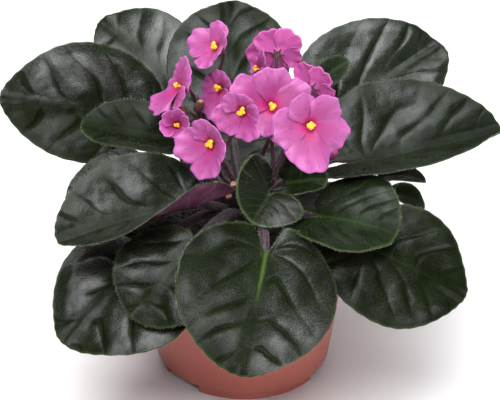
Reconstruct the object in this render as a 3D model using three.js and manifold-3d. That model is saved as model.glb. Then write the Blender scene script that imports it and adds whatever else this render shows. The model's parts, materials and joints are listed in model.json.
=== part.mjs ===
// A potted African violet: a clay-coloured plastic pot, its soil, one short crown with
// thick petioles, a rosette of broad blades and four stalks of pink flowers.
import * as THREE from "three";
import { mergeVertices } from "three/addons/utils/BufferGeometryUtils.js";
import Module from "manifold-3d";

const wasm = await Module();
wasm.setup();

// Driving dimensions in millimetres and degrees. +Z is up, the origin is the middle of
// the pot's underside, and the plant's front faces -Y.
const pot = {
  height: 80.5,
  footHeight: 5,
  footRadius: 41.5,
  footWall: 3,
  bossRadius: 12,
  bottomRadius: 44,
  taper: 0.122,
  wall: 1.8,
  floor: 2.2,
  lipHeight: 14,
  lipOut: 1.9,
  lipTopRadius: 55,
  drainRadius: 4.5,
  drainRing: 27,
  drains: 5,
  feet: 3,
  footArc: 87,
  firstFoot: -121,
  sides: 40,
  round: 1,
  lipStep: 0.6,
  lipEdge: 0.8,
};
const clearance = 0.3;
const soilLevel = 77;
const soilLumps = 1.3;
const soilSlope = 1;
const soilRings = [4, 16, 28];
const crown = {
  neckRadius: 8,
  shoulderRadius: 10,
  neckBottom: 64,
  shoulderBottom: 80,
  shoulderTop: 86,
  top: 91,
  topShare: 0.7,
};
const bladeThickness = { middle: 1.3, edge: 0.9 };
const bladeRays = 24;
const bladeRings = [0.36, 0.7, 1];
const raysDrawnIn = 0.2;
const notchWidth = 0.2;
const wavesRound = 5;
const ribDepth = 0.8;
const petiole = {
  broad: { start: 2.6, end: 1.8 },
  small: { start: 1.5, end: 1.1 },
  broadFrom: 45,
  footRadius: 4,
  footHeight: 83,
  lap: 5,
  lapShare: 0.3,
  rise: 35,
  startPull: 0.4,
  endPull: 0.3,
  steps: 7,
};
const stemSides = 5;
const petal = { thickness: 0.8, cleft: 0.72, ruffle: 0.05, throat: 2.4, raysEach: 5 };
const flowerRings = [0.26, 1];
const anther = {
  lobe: [1.4, 1.8, 1.2],
  apart: 1,
  height: 2.3,
  fullAt: 15,
  filamentTop: 0.7,
  filamentFoot: 0.3,
};
const pedicel = { rise: 0.35, leave: 0.3, arrive: 0.22, radiusShare: 0.75, endRadius: 0.8 };
const calyx = { mouth: 2.3, foot: 0.7, length: 3.4, sides: 5 };
const husk = { mouth: 1.6, foot: 0.8, length: 4, lean: [-1, 0, 1], stemStart: 0.8, stemEnd: 0.6 };
const stalkShape = { footDepth: 7, rise: 0.5, arrive: 0.3, endShare: 0.8, steps: 6 };
const socket = { depth: 14, mouthShare: 1.4, play: 3 * clearance, sides: 8 };
const stub = { footX: 0.5, footY: 0.6, footDepth: 2, startRadius: 1.8, endRadius: 1.5, sides: 6 };

// Finishes.
const finish = {
  pot: { color: 0xa0554b, roughness: 0.55 },
  soil: { color: 0x1d1712, roughness: 1 },
  petiole: { color: 0x3c2a30, roughness: 0.75 },
  blade: { color: 0x263320, roughness: 0.6 },
  youngBlade: { color: 0x35502a, roughness: 0.6 },
  stalk: { color: 0x581c34, roughness: 0.75 },
  petal: { color: 0xd058aa, roughness: 0.6 },
  anther: { color: 0xf6cd18, roughness: 0.6 },
  bud: { color: 0x8e1f5c, roughness: 0.6 },
};

// Blades, from the notch where the petiole joins (base) to the tip. face is the way the
// upper side looks at the middle of the blade. left and right are half widths seen from
// the base towards the tip, foldLeft and foldRight how far each half is lifted, bend how
// far the midrib turns down along its length, and belly where the blade is widest. The
// lobes reach behind the notch by their share of the length, and point narrows the tip.
// foldAtTip is the share of the folds that is left at the tip.
const blades = {
  leaf_front: {
    base: [10, -65, 98], tip: [-1, -97, 52], face: [0.15, -0.6, 0.46], left: 37, right: 41,
    bend: 20, foldLeft: -4, foldRight: 16, twist: 6, belly: 0.29, point: 0.33,
    lobeLeft: 0.26, lobeRight: 0.2, wave: 0.8,
  },
  leaf_front_left_inner: {
    base: [-22, -55, 98], tip: [-48, -80, 69], face: [-0.2, -0.6, 0.62], left: 25, right: 26,
    bend: 22, foldLeft: 4, foldRight: 0, twist: -4, belly: 0.48, point: 0.18,
    lobeLeft: 0.12, lobeRight: 0.05, wave: 0.9,
  },
  leaf_front_left_outer: {
    base: [-37, -36, 90], tip: [-82, -77, 54], face: [-0.28, -0.6, 0.76], left: 42, right: 28,
    bend: 16, foldLeft: 0, foldRight: 4, twist: 0, belly: 0.45, point: 0.32,
    lobeLeft: 0.13, lobeRight: 0.02, wave: 1,
  },
  leaf_left: {
    base: [-27, -31, 104], tip: [-86, -57, 98], face: [0.02, -0.6, 0.8], left: 29, right: 30,
    bend: 6, foldLeft: 82, foldRight: 14, twist: -4, belly: 0.33, point: 0.25,
    lobeLeft: 0.36, lobeRight: 0.19, wave: 0.6, foldAtTip: 0.45,
  },
  leaf_left_under: {
    base: [-40, 3, 98], tip: [-87, -9, 88], face: [-0.12, -0.6, 1.23], left: 29, right: 25,
    bend: 19, foldLeft: 6, foldRight: 3, twist: 0, belly: 0.41, point: 0.2,
    lobeLeft: 0.12, lobeRight: 0, wave: 0.8,
  },
  leaf_left_young: {
    base: [-33, 4, 120], tip: [-80, 6, 126], face: [0, -0.6, 0.96], left: 20, right: 17,
    bend: 19, foldLeft: 34, foldRight: 10, twist: -1, belly: 0.44, point: 0.29,
    lobeLeft: 0.1, lobeRight: 0.1, wave: 0.7,
  },
  leaf_far_left: {
    base: [-51, 50, 110], tip: [-124, 34, 127], face: [-0.2, -0.6, 0.45], left: 29, right: 34,
    bend: 10, foldLeft: 8, foldRight: 12, twist: -14, belly: 0.4, point: 0.42,
    lobeLeft: 0, lobeRight: 0.14, wave: 1,
  },
  leaf_back_left: {
    base: [-35, 66, 119], tip: [-79, 101, 143], face: [-0.11, -0.6, 0.74], left: 22, right: 27,
    bend: 19, foldLeft: 6, foldRight: 3, twist: 0, belly: 0.41, point: 0.23,
    lobeLeft: 0.12, lobeRight: 0.13, wave: 0.8,
  },
  leaf_back: {
    base: [-10, 50, 116], tip: [-12, 93, 158], face: [-0.18, -0.6, 0.67], left: 31, right: 34,
    bend: 17, foldLeft: 14, foldRight: 4, twist: 0, belly: 0.4, point: 0.22,
    lobeLeft: 0.22, lobeRight: 0.12, wave: 0.9,
  },
  leaf_back_right: {
    base: [43, 48, 112], tip: [103, 98, 134], face: [-0.12, -0.6, 0.47], left: 39, right: 27,
    bend: 17, foldLeft: 8, foldRight: 3, twist: 0, belly: 0.32, point: 0.18,
    lobeLeft: 0.17, lobeRight: 0.12, wave: 1,
  },
  leaf_right: {
    base: [59, 11, 108], tip: [126, 24, 120], face: [0.02, -0.6, 1.19], left: 39, right: 32,
    bend: -7, foldLeft: 20, foldRight: 40, twist: 0, belly: 0.18, point: 0.25,
    lobeLeft: 0.3, lobeRight: 0.42, wave: 0.9, foldAtTip: 1.35,
  },
  leaf_right_inner: {
    base: [34, -34, 100], tip: [70, -49, 99], face: [0.12, -0.6, 1.15], left: 33, right: 28,
    bend: 28, foldLeft: -10, foldRight: 28, twist: 8, belly: 0.45, point: 0.19,
    lobeLeft: 0.58, lobeRight: 0.4, wave: 0.8,
  },
  leaf_front_right: {
    base: [57, -45, 90], tip: [104, -50, 67], face: [0.2, -0.6, 0.6], left: 28, right: 31,
    bend: 26, foldLeft: 6, foldRight: -10, twist: 4, belly: 0.33, point: 0.42,
    lobeLeft: 0.2, lobeRight: 0.44, wave: 0.8,
  },
  leaf_young_right: {
    base: [20, -12, 106], tip: [39, -19, 112], face: [0.08, -0.6, 0.5], left: 18, right: 16,
    bend: 17, foldLeft: 30, foldRight: 58, twist: 8, belly: 0.4, point: 0.24,
    lobeLeft: 0.24, lobeRight: 0.28, wave: 0.5,
  },
  leaf_young_front: {
    base: [11, -32, 110], tip: [3, -49, 104], face: [0.22, -0.6, 0.57], left: 19, right: 21,
    bend: 26, foldLeft: 25, foldRight: 30, twist: 2, belly: 0.31, point: 0.14,
    lobeLeft: 0.3, lobeRight: 1.1, wave: 0.5,
  },
  leaf_newest: {
    base: [-2, -13, 98], tip: [-4, -16, 105], face: [0.3, -0.8, 0.5], left: 4, right: 4,
    bend: 20, foldLeft: 30, foldRight: 30, twist: 0, belly: 0.45, point: 0.2,
    lobeLeft: 0.1, lobeRight: 0.1, wave: 0.1, young: true,
  },
  leaf_small_back: {
    base: [36, 50, 132], tip: [51, 47, 145], face: [0, -0.6, 1], left: 8, right: 8,
    bend: 19, foldLeft: 5, foldRight: 6, twist: 0, belly: 0.43, point: 0.2,
    lobeLeft: 0.11, lobeRight: 0.12, wave: 0.3, young: true,
  },
  leaf_under_right_upper: {
    base: [69, 23, 92], tip: [91, 27, 88], face: [0, -0.6, 1.42], left: 7, right: 4,
    bend: 60, foldLeft: 10, foldRight: 10, twist: 0, belly: 0.44, point: 0.2,
    lobeLeft: 0.12, lobeRight: 0.12, wave: 0.3,
  },
  leaf_under_right_lower: {
    base: [74, 23, 84], tip: [91, 24, 74], face: [0, -0.6, 1.43], left: 8, right: 6,
    bend: 50, foldLeft: 6, foldRight: 10, twist: 0, belly: 0.42, point: 0.2,
    lobeLeft: 0.08, lobeRight: 0.12, wave: 0.3, young: true,
  },
  leaf_rear_left: {
    base: [-34, 60, 96], tip: [-72, 108, 90], face: [0, -0.1, 1], left: 26, right: 26,
    bend: 24, foldLeft: 5, foldRight: 5, twist: 0, belly: 0.4, point: 0.3,
    lobeLeft: 0.1, lobeRight: 0.1, wave: 0.9,
  },
  leaf_rear_middle: {
    base: [-2, 36, 86], tip: [-2, 104, 83], face: [0, 0, 1], left: 34, right: 30,
    bend: 6, foldLeft: -4, foldRight: -4, twist: 0, belly: 0.4, point: 0.3,
    lobeLeft: 0.1, lobeRight: 0.1, wave: 0.4,
  },
  leaf_rear_right: {
    base: [57, 52, 94], tip: [98, 90, 84], face: [0, 0, 1], left: 26, right: 26,
    bend: 24, foldLeft: 5, foldRight: 5, twist: 0, belly: 0.4, point: 0.3,
    lobeLeft: 0.1, lobeRight: 0.1, wave: 0.9,
  },
};

// Flowers: the middle of the throat, the way it faces, how far it is rolled, then the
// length and lift of its petals: upper right, upper left, left, bottom and right.
const flowers = {
  flower_top_left: {
    at: [-14.8, 8, 166.7], face: [-0.6, -0.58, 0.53], roll: -12,
    lengths: [11.5, 12.5, 16, 13, 11], lifts: [30, 6, 10, 22, 34],
  },
  flower_far_left: {
    at: [-32, -2, 151], face: [-0.84, -0.28, 0.38], roll: -10,
    lengths: [14, 14, 14, 19, 13], lifts: [7, 6, -4, 26, 7],
  },
  flower_left: {
    at: [-12.8, 1.3, 148.8], face: [-0.6, -0.75, 0.3], roll: -18,
    lengths: [9, 9, 11, 15, 8.5], lifts: [20, 14, 0, 12, 20],
  },
  flower_opening: {
    at: [-32.5, -14, 136], face: [-0.12, -0.85, 0.5], roll: 15,
    lengths: [9, 9, 9.6, 8.8, 9.6], lifts: [42, 42, 42, 42, 42],
  },
  flower_front_left: {
    at: [-15.9, -31, 135.4], face: [-0.52, -0.8, 0.26], roll: 4,
    lengths: [12, 12.5, 17.5, 17, 13], lifts: [32, 22, 14, 16, 26],
  },
  flower_front: {
    at: [-1.8, -23, 148.5], face: [-0.3, -0.9, 0.2], roll: 20,
    lengths: [10, 11, 15, 14.5, 10.5], lifts: [30, 20, 8, 14, 30],
  },
  flower_middle: {
    at: [11.5, -4, 142], face: [0.12, -0.78, 0.6], roll: -37,
    lengths: [20, 19, 22, 16, 22], lifts: [14, 14, 14, 14, 8],
  },
  flower_front_right: {
    at: [29, -29, 144.5], face: [0.24, -0.86, 0.34], roll: -12,
    lengths: [16.5, 15.5, 18.5, 21.5, 18.5], lifts: [16, 14, 4, 14, 6],
  },
  flower_top_right: {
    at: [14, 16, 161.5], face: [0.08, 0.98, 0.02], roll: 0,
    lengths: [14, 14.5, 12, 10, 15], lifts: [-8, -8, 8, 14, 4],
  },
  flower_behind: {
    at: [5, 12.5, 154.3], face: [-0.8, -0.45, 0.4], roll: 0,
    lengths: [12, 6, 5, 6, 8], lifts: [20, 20, 16, 16, 16],
  },
  flower_right: {
    at: [31.5, 10, 147], face: [0.5, 0.82, 0.2], roll: 0,
    lengths: [11, 12, 11, 10, 10], lifts: [6, 6, 8, 10, 10],
  },
};

// Flower stalks: each rises from the crown to a fork, and a pedicel runs from there to
// the back of each flower. turn and out place the foot on the crown.
const stalks = {
  stalk_left: {
    turn: 160, out: 3.8, fork: [-22, 5, 130], radius: 1.4,
    spent: [[-29.3, -4, 139.5], [-24, -2, 141]],
    flowers: ["flower_top_left", "flower_far_left", "flower_left", "flower_opening"],
  },
  stalk_front: {
    turn: 212, out: 4, fork: [-13, -19, 119], radius: 1.3,
    flowers: ["flower_front_left", "flower_front"],
  },
  stalk_right: {
    turn: 330, out: 4, fork: [13.4, -13.4, 110], radius: 1.4,
    flowers: ["flower_middle", "flower_front_right"],
  },
  stalk_back: {
    turn: 60, out: 4, fork: [14, 8, 134], radius: 1.4,
    flowers: ["flower_top_right", "flower_behind", "flower_right", "flower_bud"],
  },
};

// Tips of old flower stalks cut short above the crown.
const stubs = [[-5.8, -12, 104.6], [-8, -12, 98], [-14.5, -8, 102.5]];

// The unopened bud, on a pedicel of its own from a stalk's fork.
const bud = { at: [41, -8, 120], face: [0.5, -0.5, 0.6], radius: 2.6, stretch: 1.35, roll: 0 };

const vector = (list) => new THREE.Vector3(...list);
const radians = THREE.MathUtils.degToRad;

// A closed mesh from shared points and triangles.
function solid(points, triangles) {
  const geometry = new THREE.BufferGeometry();
  geometry.setAttribute("position", new THREE.Float32BufferAttribute(points.flat(), 3));
  geometry.setIndex(triangles.flat());
  return geometry;
}

function welded(geometry) {
  const plain = geometry.clone();
  plain.deleteAttribute("normal");
  plain.deleteAttribute("uv");
  return mergeVertices(plain, 1e-4);
}

function toManifold(geometry) {
  const clean = welded(geometry);
  return new wasm.Manifold(
    new wasm.Mesh({
      numProp: 3,
      vertProperties: clean.getAttribute("position").array,
      triVerts: Uint32Array.from(clean.index.array),
    }),
  );
}

function fromManifold(body) {
  const mesh = body.getMesh();
  const geometry = new THREE.BufferGeometry();
  geometry.setAttribute("position", new THREE.BufferAttribute(mesh.vertProperties, 3));
  geometry.setIndex(new THREE.BufferAttribute(mesh.triVerts, 1));
  return geometry;
}

// A turned solid about +Z from [radius, height] points that start and end on the axis.
function turned(profile, sides) {
  const points = profile.map(([radius, height]) => new THREE.Vector2(radius, height));
  return new THREE.LatheGeometry(points, sides).rotateX(Math.PI / 2);
}

// A round stem along a curve, with a radius that changes from end to end.
function stem(curve, startRadius, endRadius, steps, sides) {
  const frames = curve.computeFrenetFrames(steps, false);
  const points = [];
  const triangles = [];
  for (let i = 0; i <= steps; i++) {
    const middle = curve.getPointAt(i / steps);
    const radius = THREE.MathUtils.lerp(startRadius, endRadius, i / steps);
    for (let j = 0; j < sides; j++) {
      const angle = (2 * Math.PI * j) / sides;
      const rim = middle
        .clone()
        .addScaledVector(frames.normals[i], radius * Math.cos(angle))
        .addScaledVector(frames.binormals[i], radius * Math.sin(angle));
      points.push(rim.toArray());
    }
  }
  const start = points.push(curve.getPointAt(0).toArray()) - 1;
  const end = points.push(curve.getPointAt(1).toArray()) - 1;
  for (let j = 0; j < sides; j++) {
    const next = (j + 1) % sides;
    for (let i = 0; i < steps; i++) {
      const low = i * sides;
      const high = low + sides;
      triangles.push([low + j, low + next, high + next], [low + j, high + next, high + j]);
    }
    const last = steps * sides;
    triangles.push([start, next, j], [end, last + j, last + next]);
  }
  return solid(points, triangles);
}

// A curved plate made of rings about a middle point. place(ray, ring, side) gives each
// point, with side +1 on the upper face and -1 on the lower, and both faces are split
// into triangles alike.
function plate(rays, rings, place) {
  const points = [];
  const triangles = [];
  for (const side of [1, -1]) {
    points.push(place(0, -1, side));
    for (let ring = 0; ring < rings; ring++) {
      for (let ray = 0; ray < rays; ray++) points.push(place(ray, ring, side));
    }
  }
  const half = 1 + rays * rings;
  const at = (ray, ring) => 1 + ring * rays + (ray % rays);
  const both = (a, b, c) => triangles.push([a, b, c], [half + a, half + c, half + b]);
  for (let ray = 0; ray < rays; ray++) {
    both(0, at(ray, 0), at(ray + 1, 0));
    for (let ring = 1; ring < rings; ring++) {
      both(at(ray, ring - 1), at(ray, ring), at(ray + 1, ring));
      both(at(ray, ring - 1), at(ray + 1, ring), at(ray + 1, ring - 1));
    }
    const near = at(ray, rings - 1);
    const next = at(ray + 1, rings - 1);
    triangles.push([near, half + near, half + next], [near, half + next, next]);
  }
  return solid(points, triangles);
}

// The sheet of one blade: at(p, q) is the point p along the midrib from the notch and q
// to its left, and lift moves it off the sheet.
class Sheet {
  constructor(blade) {
    this.blade = blade;
    this.base = vector(blade.base);
    const chord = vector(blade.tip).sub(this.base);
    this.chord = chord.length();
    this.along = chord.clone().normalize();
    const face = vector(blade.face);
    this.up = face.addScaledVector(this.along, -face.dot(this.along)).normalize();
    this.across = this.up.clone().cross(this.along);
    this.bend = radians(blade.bend);
    this.length = (this.chord * this.bend) / 2 / Math.sin(this.bend / 2);
  }

  frame(p) {
    const arc = this.length / this.bend;
    const slope = this.bend / 2 - (this.bend * p) / this.length;
    const middle = this.base
      .clone()
      .addScaledVector(this.along, arc * (Math.sin(this.bend / 2) - Math.sin(slope)))
      .addScaledVector(this.up, arc * (Math.cos(slope) - Math.cos(this.bend / 2)));
    const forward = this.along
      .clone()
      .multiplyScalar(Math.cos(slope))
      .addScaledVector(this.up, Math.sin(slope));
    const roll = radians(this.blade.twist) * (p / this.length - 0.5);
    const across = this.across.clone().applyAxisAngle(forward, roll);
    return { middle, forward, across, normal: forward.clone().cross(across) };
  }

  at(p, q, lift) {
    const { middle, across, normal } = this.frame(p);
    const eased = 1 + ((this.blade.foldAtTip ?? 1) - 1) * Math.max(0, p / this.length);
    const left = radians(this.blade.foldLeft * eased);
    const right = radians(this.blade.foldRight * eased);
    const leftUp = normal.clone().multiplyScalar(Math.cos(left));
    leftUp.addScaledVector(across, -Math.sin(left));
    const rightUp = normal.clone().multiplyScalar(Math.cos(right));
    rightUp.addScaledVector(across, Math.sin(right));
    const fold = q > 0 ? left : right;
    let up = q > 0 ? leftUp : rightUp;
    if (Math.abs(q) < 0.01) {
      up = leftUp.clone().add(rightUp);
      up.divideScalar(1 + leftUp.dot(rightUp));
    }
    return middle
      .addScaledVector(across, q * Math.cos(fold))
      .addScaledVector(normal, Math.abs(q) * Math.sin(fold))
      .addScaledVector(up, lift);
  }

  // The edge, from the tip round the left side at turn 0 to pi, to the notch and back.
  edge(turn) {
    const { left, right, belly, point, lobeLeft, lobeRight } = this.blade;
    const onLeft = turn <= Math.PI;
    const angle = onLeft ? turn : 2 * Math.PI - turn;
    const widest = belly * this.length;
    const lobe = (onLeft ? lobeLeft : lobeRight) * this.length;
    const reach = Math.cos(angle) >= 0 ? this.length - widest : widest + lobe;
    const notch = lobe * Math.exp(-(((Math.PI - angle) / notchWidth) ** 2));
    const narrowing = 1 - point * Math.max(0, Math.cos(angle)) ** 3;
    const width = (onLeft ? left : -right) * Math.sin(angle) * narrowing;
    return [widest + reach * Math.cos(angle) + notch, width];
  }
}

// How far the midrib stands out under the sheet: nothing at the notch and at the tip.
function ribUnder(sheet, p) {
  const full = (1 - bladeRings[1]) * sheet.blade.belly * sheet.length;
  return ribDepth * Math.min(1, p / full) * (1 - p / sheet.length);
}

function bladeGeometry(sheet) {
  const widest = sheet.blade.belly * sheet.length;
  return plate(bladeRays, bladeRings.length, (ray, ring, side) => {
    const even = (2 * Math.PI * ray) / bladeRays;
    const [edgeP, edgeQ] = sheet.edge(even - raysDrawnIn * Math.sin(2 * even));
    const share = ring < 0 ? 0 : bladeRings[ring];
    const p = widest + share * (edgeP - widest);
    const onRib = ring < 0 || ray === 0 || 2 * ray === bladeRays;
    const q = onRib ? 0 : share * edgeQ;
    const thickness = THREE.MathUtils.lerp(bladeThickness.middle, bladeThickness.edge, share);
    const wave = onRib ? 0 : sheet.blade.wave * share ** 2 * Math.sin(wavesRound * even + p);
    const rib = onRib && side < 0 ? ribUnder(sheet, p) : 0;
    return sheet.at(p, q, (side * thickness) / 2 + wave - rib).toArray();
  });
}

// The petiole leaves the crown, arches over the rim and ends under the blade's base.
function petioleCurve(sheet) {
  const { blade } = sheet;
  const radius = petioleRadius(blade);
  const lap = Math.min(petiole.lap, petiole.lapShare * sheet.length);
  const share = 1 - lap / (blade.belly * sheet.length);
  const half = THREE.MathUtils.lerp(bladeThickness.middle, bladeThickness.edge, share) / 2;
  const end = sheet.at(lap, 0, -half - ribUnder(sheet, lap));
  const down = end.clone().sub(sheet.at(lap, 0, 0)).normalize();
  end.addScaledVector(down, radius.end + clearance);
  const { forward } = sheet.frame(0);
  const turn = Math.atan2(blade.base[1], blade.base[0]);
  const rise = radians(petiole.rise);
  const { footRadius, footHeight } = petiole;
  const start = new THREE.Vector3(
    footRadius * Math.cos(turn),
    footRadius * Math.sin(turn),
    footHeight,
  );
  const span = start.distanceTo(end);
  const out = new THREE.Vector3(
    Math.cos(turn) * Math.cos(rise),
    Math.sin(turn) * Math.cos(rise),
    Math.sin(rise),
  );
  return new THREE.CubicBezierCurve3(
    start,
    start.clone().addScaledVector(out, span * petiole.startPull),
    end.clone().addScaledVector(forward, -span * petiole.endPull),
    end,
  );
}

function petioleRadius(blade) {
  return blade.left + blade.right > petiole.broadFrom ? petiole.broad : petiole.small;
}

// A flower's own directions: face out of the throat, top towards its two upper petals.
function flowerFrame(flower) {
  const face = vector(flower.face).normalize();
  const top = new THREE.Vector3(0, 0, 1);
  top.addScaledVector(face, -top.dot(face)).normalize();
  top.applyAxisAngle(face, radians(flower.roll));
  return { face, top, side: top.clone().cross(face) };
}

function flowerPoint(flower, across, upward, out) {
  const { face, top, side } = flowerFrame(flower);
  return vector(flower.at)
    .addScaledVector(side, across)
    .addScaledVector(top, upward)
    .addScaledVector(face, out);
}

// The corolla's five petals round the throat, and where each meets the next.
const petalEdges = [20, 90, 160, 232, 308, 380];

function corollaGeometry(flower) {
  const { lengths, lifts } = flower;
  const rays = petal.raysEach * lengths.length;
  return plate(rays, flowerRings.length, (ray, ring, side) => {
    const number = Math.floor(ray / petal.raysEach);
    const last = (number + lengths.length - 1) % lengths.length;
    const within = (ray % petal.raysEach) / petal.raysEach;
    const from = petalEdges[number];
    const angle = radians(THREE.MathUtils.lerp(from, petalEdges[number + 1], within));
    const atCleft = within === 0;
    const length = atCleft ? (lengths[number] + lengths[last]) / 2 : lengths[number];
    const lift = radians(atCleft ? (lifts[number] + lifts[last]) / 2 : lifts[number]);
    const shape = 1 - (1 - petal.cleft) * Math.abs(2 * within - 1) ** 3;
    const half = (side * petal.thickness) / 2;
    if (ring < 0) return flowerPoint(flower, 0, 0, half - petal.throat).toArray();
    const reach = length * (ring === 0 ? flowerRings[0] : flowerRings[ring] * shape);
    const ruffle = ring === 0 ? 0 : petal.ruffle * reach * Math.sin(2 * Math.PI * within + number);
    const radial = reach * Math.cos(lift) - half * Math.sin(lift);
    const out = reach * Math.sin(lift) + half * Math.cos(lift) + ruffle;
    return flowerPoint(flower, radial * Math.cos(angle), radial * Math.sin(angle), out).toArray();
  });
}

// Two round yellow anthers on one short filament.
function antherGeometry(flower) {
  const { face, top, side } = flowerFrame(flower);
  const turnTo = new THREE.Matrix4().makeBasis(side, top, face);
  const seat = 2 * clearance + petal.thickness / 2 - petal.throat;
  const { lobe: size, height } = anther;
  const scale = Math.min(1, Math.max(...flower.lengths) / anther.fullAt);
  const [wide, long, deep] = size;
  const lobe = (across) =>
    new THREE.SphereGeometry(scale, 6, 4).scale(wide, long, deep).translate(across, 0, height);
  const length = height - seat;
  const { filamentTop, filamentFoot } = anther;
  const filament = new THREE.CylinderGeometry(filamentTop, filamentFoot, length, stemSides);
  filament.rotateX(Math.PI / 2).translate(0, 0, seat + length / 2);
  const joined = toManifold(lobe(-anther.apart * scale))
    .add(toManifold(lobe(anther.apart * scale)))
    .add(toManifold(filament));
  return fromManifold(joined).applyMatrix4(turnTo).translate(...flower.at);
}

// Where a pedicel meets its flower, just behind the throat.
function pedicelEnd(flower) {
  const back = flower === bud ? bud.stretch * bud.radius : petal.throat + petal.thickness / 2;
  return flowerPoint(flower, 0, 0, -back - clearance);
}

function pedicelCurve(stalk, flower) {
  const fork = vector(stalk.fork);
  const end = pedicelEnd(flower);
  const { face } = flowerFrame(flower);
  const span = fork.distanceTo(end);
  const leave = end.clone().sub(fork).normalize();
  leave.z += pedicel.rise;
  return new THREE.CubicBezierCurve3(
    fork,
    fork.clone().addScaledVector(leave, span * pedicel.leave),
    end.clone().addScaledVector(face, -span * pedicel.arrive),
    end,
  );
}

function stalkCurve(stalk) {
  const turn = radians(stalk.turn);
  const foot = new THREE.Vector3(
    stalk.out * Math.cos(turn),
    stalk.out * Math.sin(turn),
    crown.top - stalkShape.footDepth,
  );
  const fork = vector(stalk.fork);
  const span = foot.distanceTo(fork);
  return new THREE.CubicBezierCurve3(
    foot,
    foot.clone().add(new THREE.Vector3(0, 0, span * stalkShape.rise)),
    fork.clone().add(new THREE.Vector3(0, 0, -span * stalkShape.arrive)),
    fork,
  );
}

// A calyx: a small cup of sepals that carries the corolla.
function calyxGeometry(flower) {
  const { face, top, side } = flowerFrame(flower);
  const { mouth, foot, length, sides } = calyx;
  const cup = new THREE.CylinderGeometry(mouth, foot, length, sides).rotateX(Math.PI / 2);
  cup.translate(0, 0, -length / 2);
  const turnTo = new THREE.Matrix4().makeBasis(side, top, face);
  return cup.applyMatrix4(turnTo).translate(...pedicelEnd(flower).toArray());
}

// An old calyx on its own thin pedicel.
function huskGeometry(stalk, tip) {
  const fork = vector(stalk.fork);
  const end = vector(tip);
  const middle = fork.clone().lerp(end, 0.5).add(vector(husk.lean));
  const curve = new THREE.QuadraticBezierCurve3(fork, middle, end);
  const cup = new THREE.CylinderGeometry(husk.mouth, husk.foot, husk.length, stemSides);
  cup.rotateX(Math.PI / 2).translate(...tip);
  const { stemStart, stemEnd } = husk;
  return toManifold(stem(curve, stemStart, stemEnd, 4, stemSides)).add(toManifold(cup));
}

function stalkGeometry(stalk) {
  const { radius } = stalk;
  const { endShare, steps } = stalkShape;
  let joined = toManifold(stem(stalkCurve(stalk), radius, radius * endShare, steps, stemSides));
  const carried = stalk.flowers.map((name) => flowers[name] ?? bud);
  for (const flower of carried) {
    const curve = pedicelCurve(stalk, flower);
    const start = radius * pedicel.radiusShare;
    joined = joined.add(toManifold(stem(curve, start, pedicel.endRadius, 5, stemSides)));
    joined = joined.add(toManifold(calyxGeometry(flower)));
  }
  for (const tip of stalk.spent ?? []) joined = joined.add(huskGeometry(stalk, tip));
  return fromManifold(joined);
}

// The bud: an egg of folded petals just clear of its calyx.
function budGeometry() {
  const egg = new THREE.SphereGeometry(bud.radius, 8, 6).scale(1, 1, bud.stretch);
  const { face, top, side } = flowerFrame(bud);
  const turnTo = new THREE.Matrix4().makeBasis(side, top, face);
  return welded(egg.applyMatrix4(turnTo).translate(...bud.at));
}

// The pot: a turned wall with a lip, standing on three arcs of foot ring and a boss.
function potGeometry() {
  const { height, footHeight, bottomRadius, wall, floor, round, lipStep, lipEdge } = pot;
  const lipBottom = height - pot.lipHeight;
  const wallAt = (z) => bottomRadius + pot.taper * (z - footHeight);
  const floorTop = footHeight + floor;
  const lipFoot = wallAt(lipBottom) + pot.lipOut;
  const body = turned(
    [
      [0, 0],
      [pot.bossRadius, 0],
      [pot.bossRadius, footHeight],
      [bottomRadius - round, footHeight],
      [bottomRadius, footHeight + round],
      [wallAt(lipBottom), lipBottom],
      [lipFoot, lipBottom + lipStep],
      [pot.lipTopRadius, height - lipEdge],
      [pot.lipTopRadius - lipEdge, height],
      [pot.lipTopRadius - wall, height],
      [lipFoot - wall, lipBottom + 2 * round],
      [wallAt(lipBottom) - wall, lipBottom + round],
      [wallAt(floorTop) - wall, floorTop],
      [0, floorTop],
    ],
    pot.sides,
  );
  let joined = toManifold(body);
  for (let foot = 0; foot < pot.feet; foot++) {
    const from = radians(pot.firstFoot + (360 / pot.feet) * foot);
    const to = from + radians(pot.footArc);
    const outline = new THREE.Shape();
    outline.absarc(0, 0, pot.footRadius, from, to, false);
    outline.absarc(0, 0, pot.footRadius - pot.footWall, to, from, true);
    const arc = new THREE.ExtrudeGeometry(outline, {
      depth: footHeight + floor / 2,
      bevelEnabled: false,
      curveSegments: 8,
    });
    joined = joined.add(toManifold(arc));
  }
  for (let drain = 0; drain < pot.drains; drain++) {
    const turn = (2 * Math.PI * drain) / pot.drains;
    const hole = new THREE.CylinderGeometry(pot.drainRadius, pot.drainRadius, 4 * floor, 8);
    hole.rotateX(Math.PI / 2);
    hole.translate(
      pot.drainRing * Math.cos(turn),
      pot.drainRing * Math.sin(turn),
      footHeight + floor / 2,
    );
    joined = joined.subtract(toManifold(hole));
  }
  return fromManifold(joined);
}

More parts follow.
